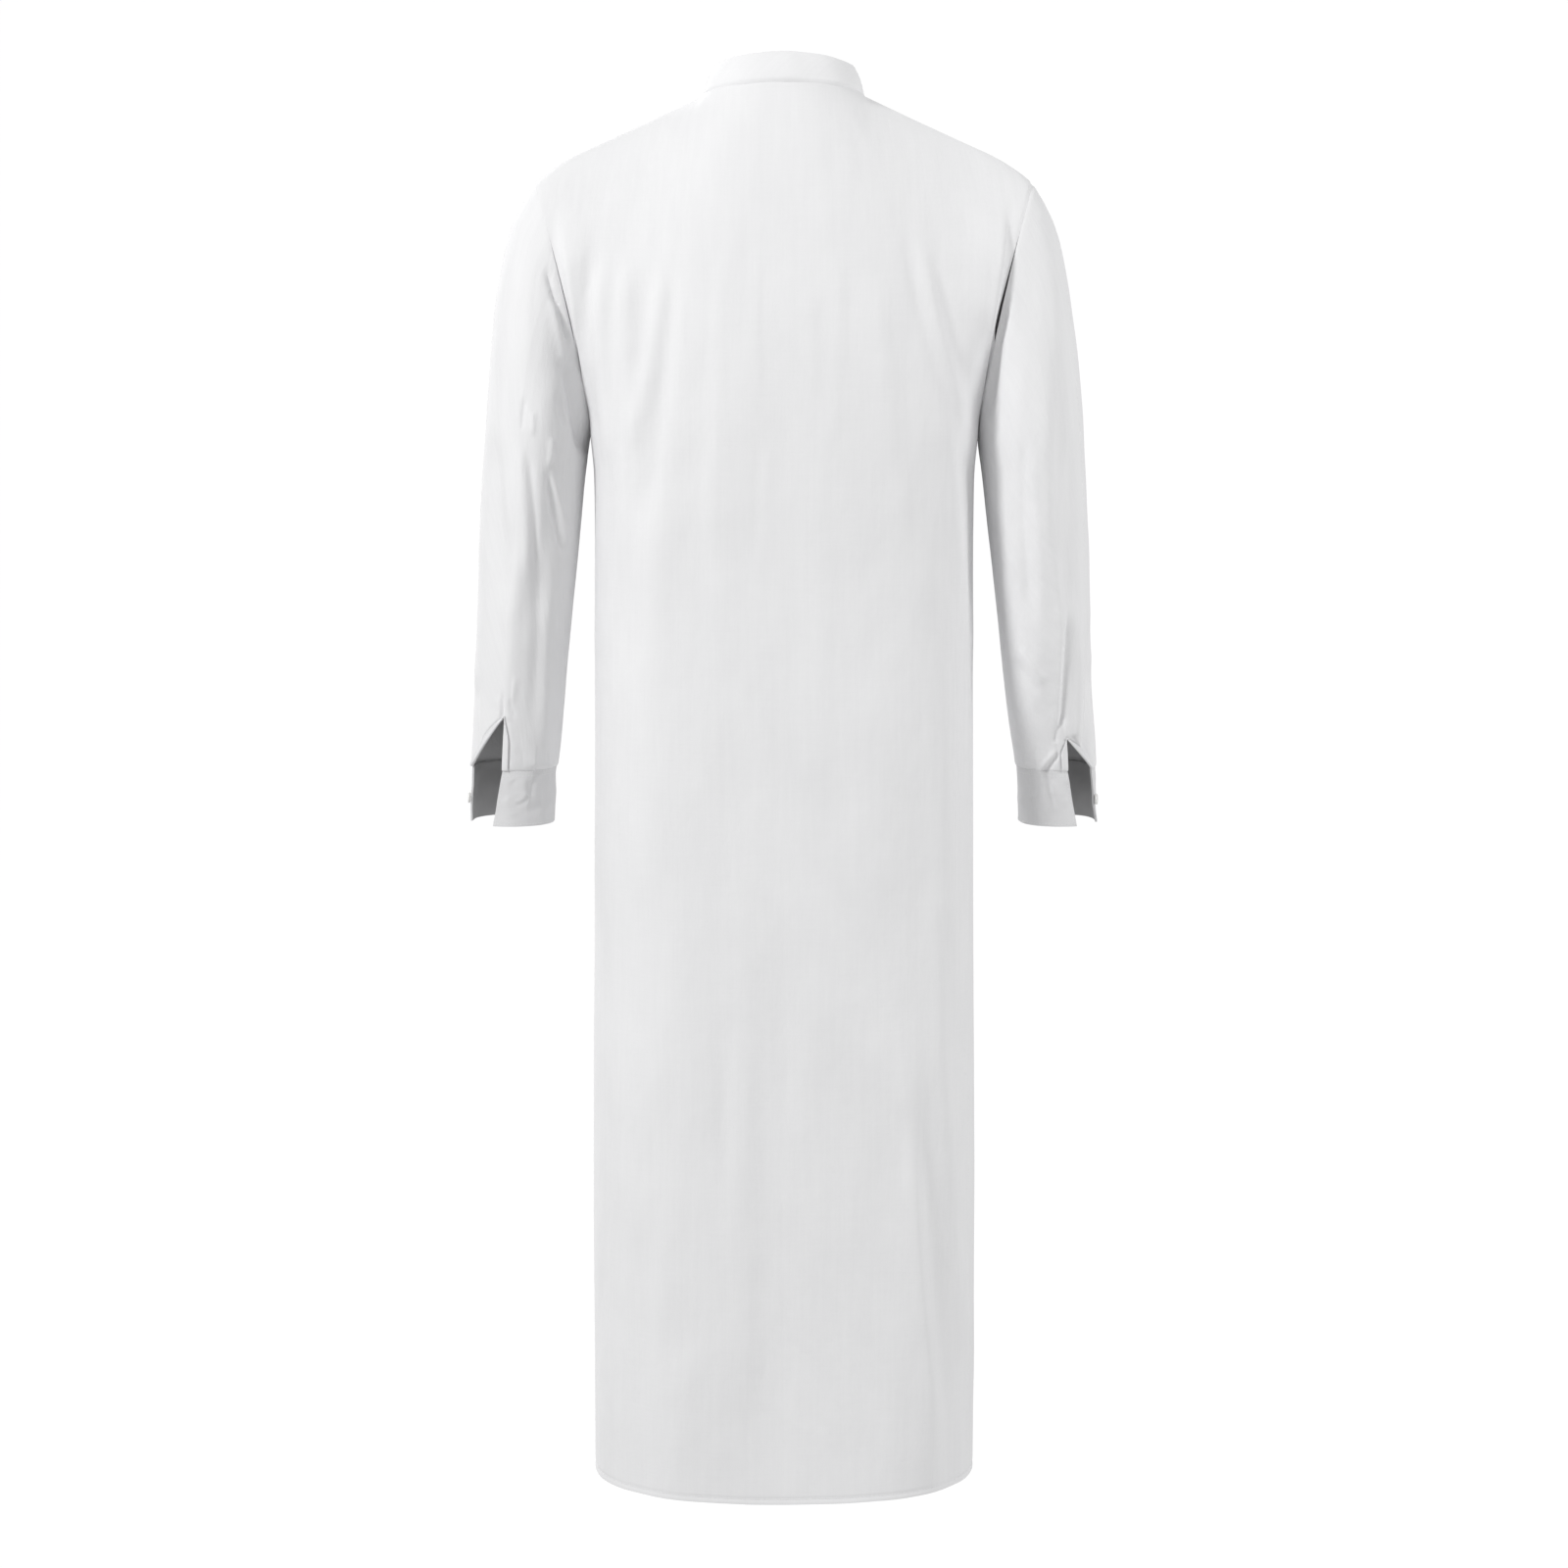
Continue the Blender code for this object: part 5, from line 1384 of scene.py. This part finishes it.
stage_finish = Finish("backdrop", 1.0)
stage_finish.set("Base Color", (0.0, 0.0, 0.0, 1.0))
stage_finish.set("Emission Color", (1.0, 1.0, 1.0, 1.0))
stage_finish.set("Emission Strength", 1.0)
line = [(STAGE_FRONT, FLOOR_Z), (STAGE_BACK + BEND, FLOOR_Z)]
for step in range(1, BEND_STEPS + 1):
    turn = step / BEND_STEPS * math.pi / 2
    line.append((STAGE_BACK + BEND - BEND * math.sin(turn), FLOOR_Z + BEND - BEND * math.cos(turn)))
line.append((STAGE_BACK, STAGE_TOP))
points = [(x, y, z) for y, z in line for x in (-STAGE_HALF, STAGE_HALF)]
faces = [(row * 2, row * 2 + 1, row * 2 + 3, row * 2 + 2) for row in range(len(line) - 1)]
backdrop = add_mesh("backdrop", points, faces, stage_finish.material)
backdrop.visible_diffuse = False  # it shows white but doesn't light the cloth from below
backdrop.visible_glossy = False
backdrop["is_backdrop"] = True


# %% Light
def add_area(name, place, target, size, power):
    light = bpy.data.lights.new(name, "AREA")
    light.shape = "DISK"
    light.size = size
    light.energy = power
    lamp = bpy.data.objects.new(name, light)
    lamp.location = place
    lamp.rotation_euler = (Vector(target) - Vector(place)).to_track_quat("-Z", "Y").to_euler()
    scene.collection.objects.link(lamp)
    return lamp


MIDDLE = (0, 0, -0.6)
SKY = 0.58
add_area("key", (2.8, 2.6, 1.5), MIDDLE, 0.9, 95)
add_area("side_light", (-3.4, 0.9, 0.2), MIDDLE, 1.4, 40)
add_area("front_light", (1.6, -2.8, 1.4), MIDDLE, 1.2, 45)
world = bpy.data.worlds.new("world")
world.use_nodes = True
world.node_tree.nodes["Background"].inputs["Color"].default_value = (1.0, 1.0, 1.0, 1.0)
world.node_tree.nodes["Background"].inputs["Strength"].default_value = SKY
scene.world = world
scene.view_settings.view_transform = "Standard"

# %% [markdown]
# ## Size and finish
#
# Both boxes, of the imported model and of the visual one, are printed at the end.

# %% Size and finish
boxes = {"cad": cad_box, "visual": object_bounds()}
boxes = {name: [list(corner) for corner in box] for name, box in boxes.items()}
print("sizes:", boxes)
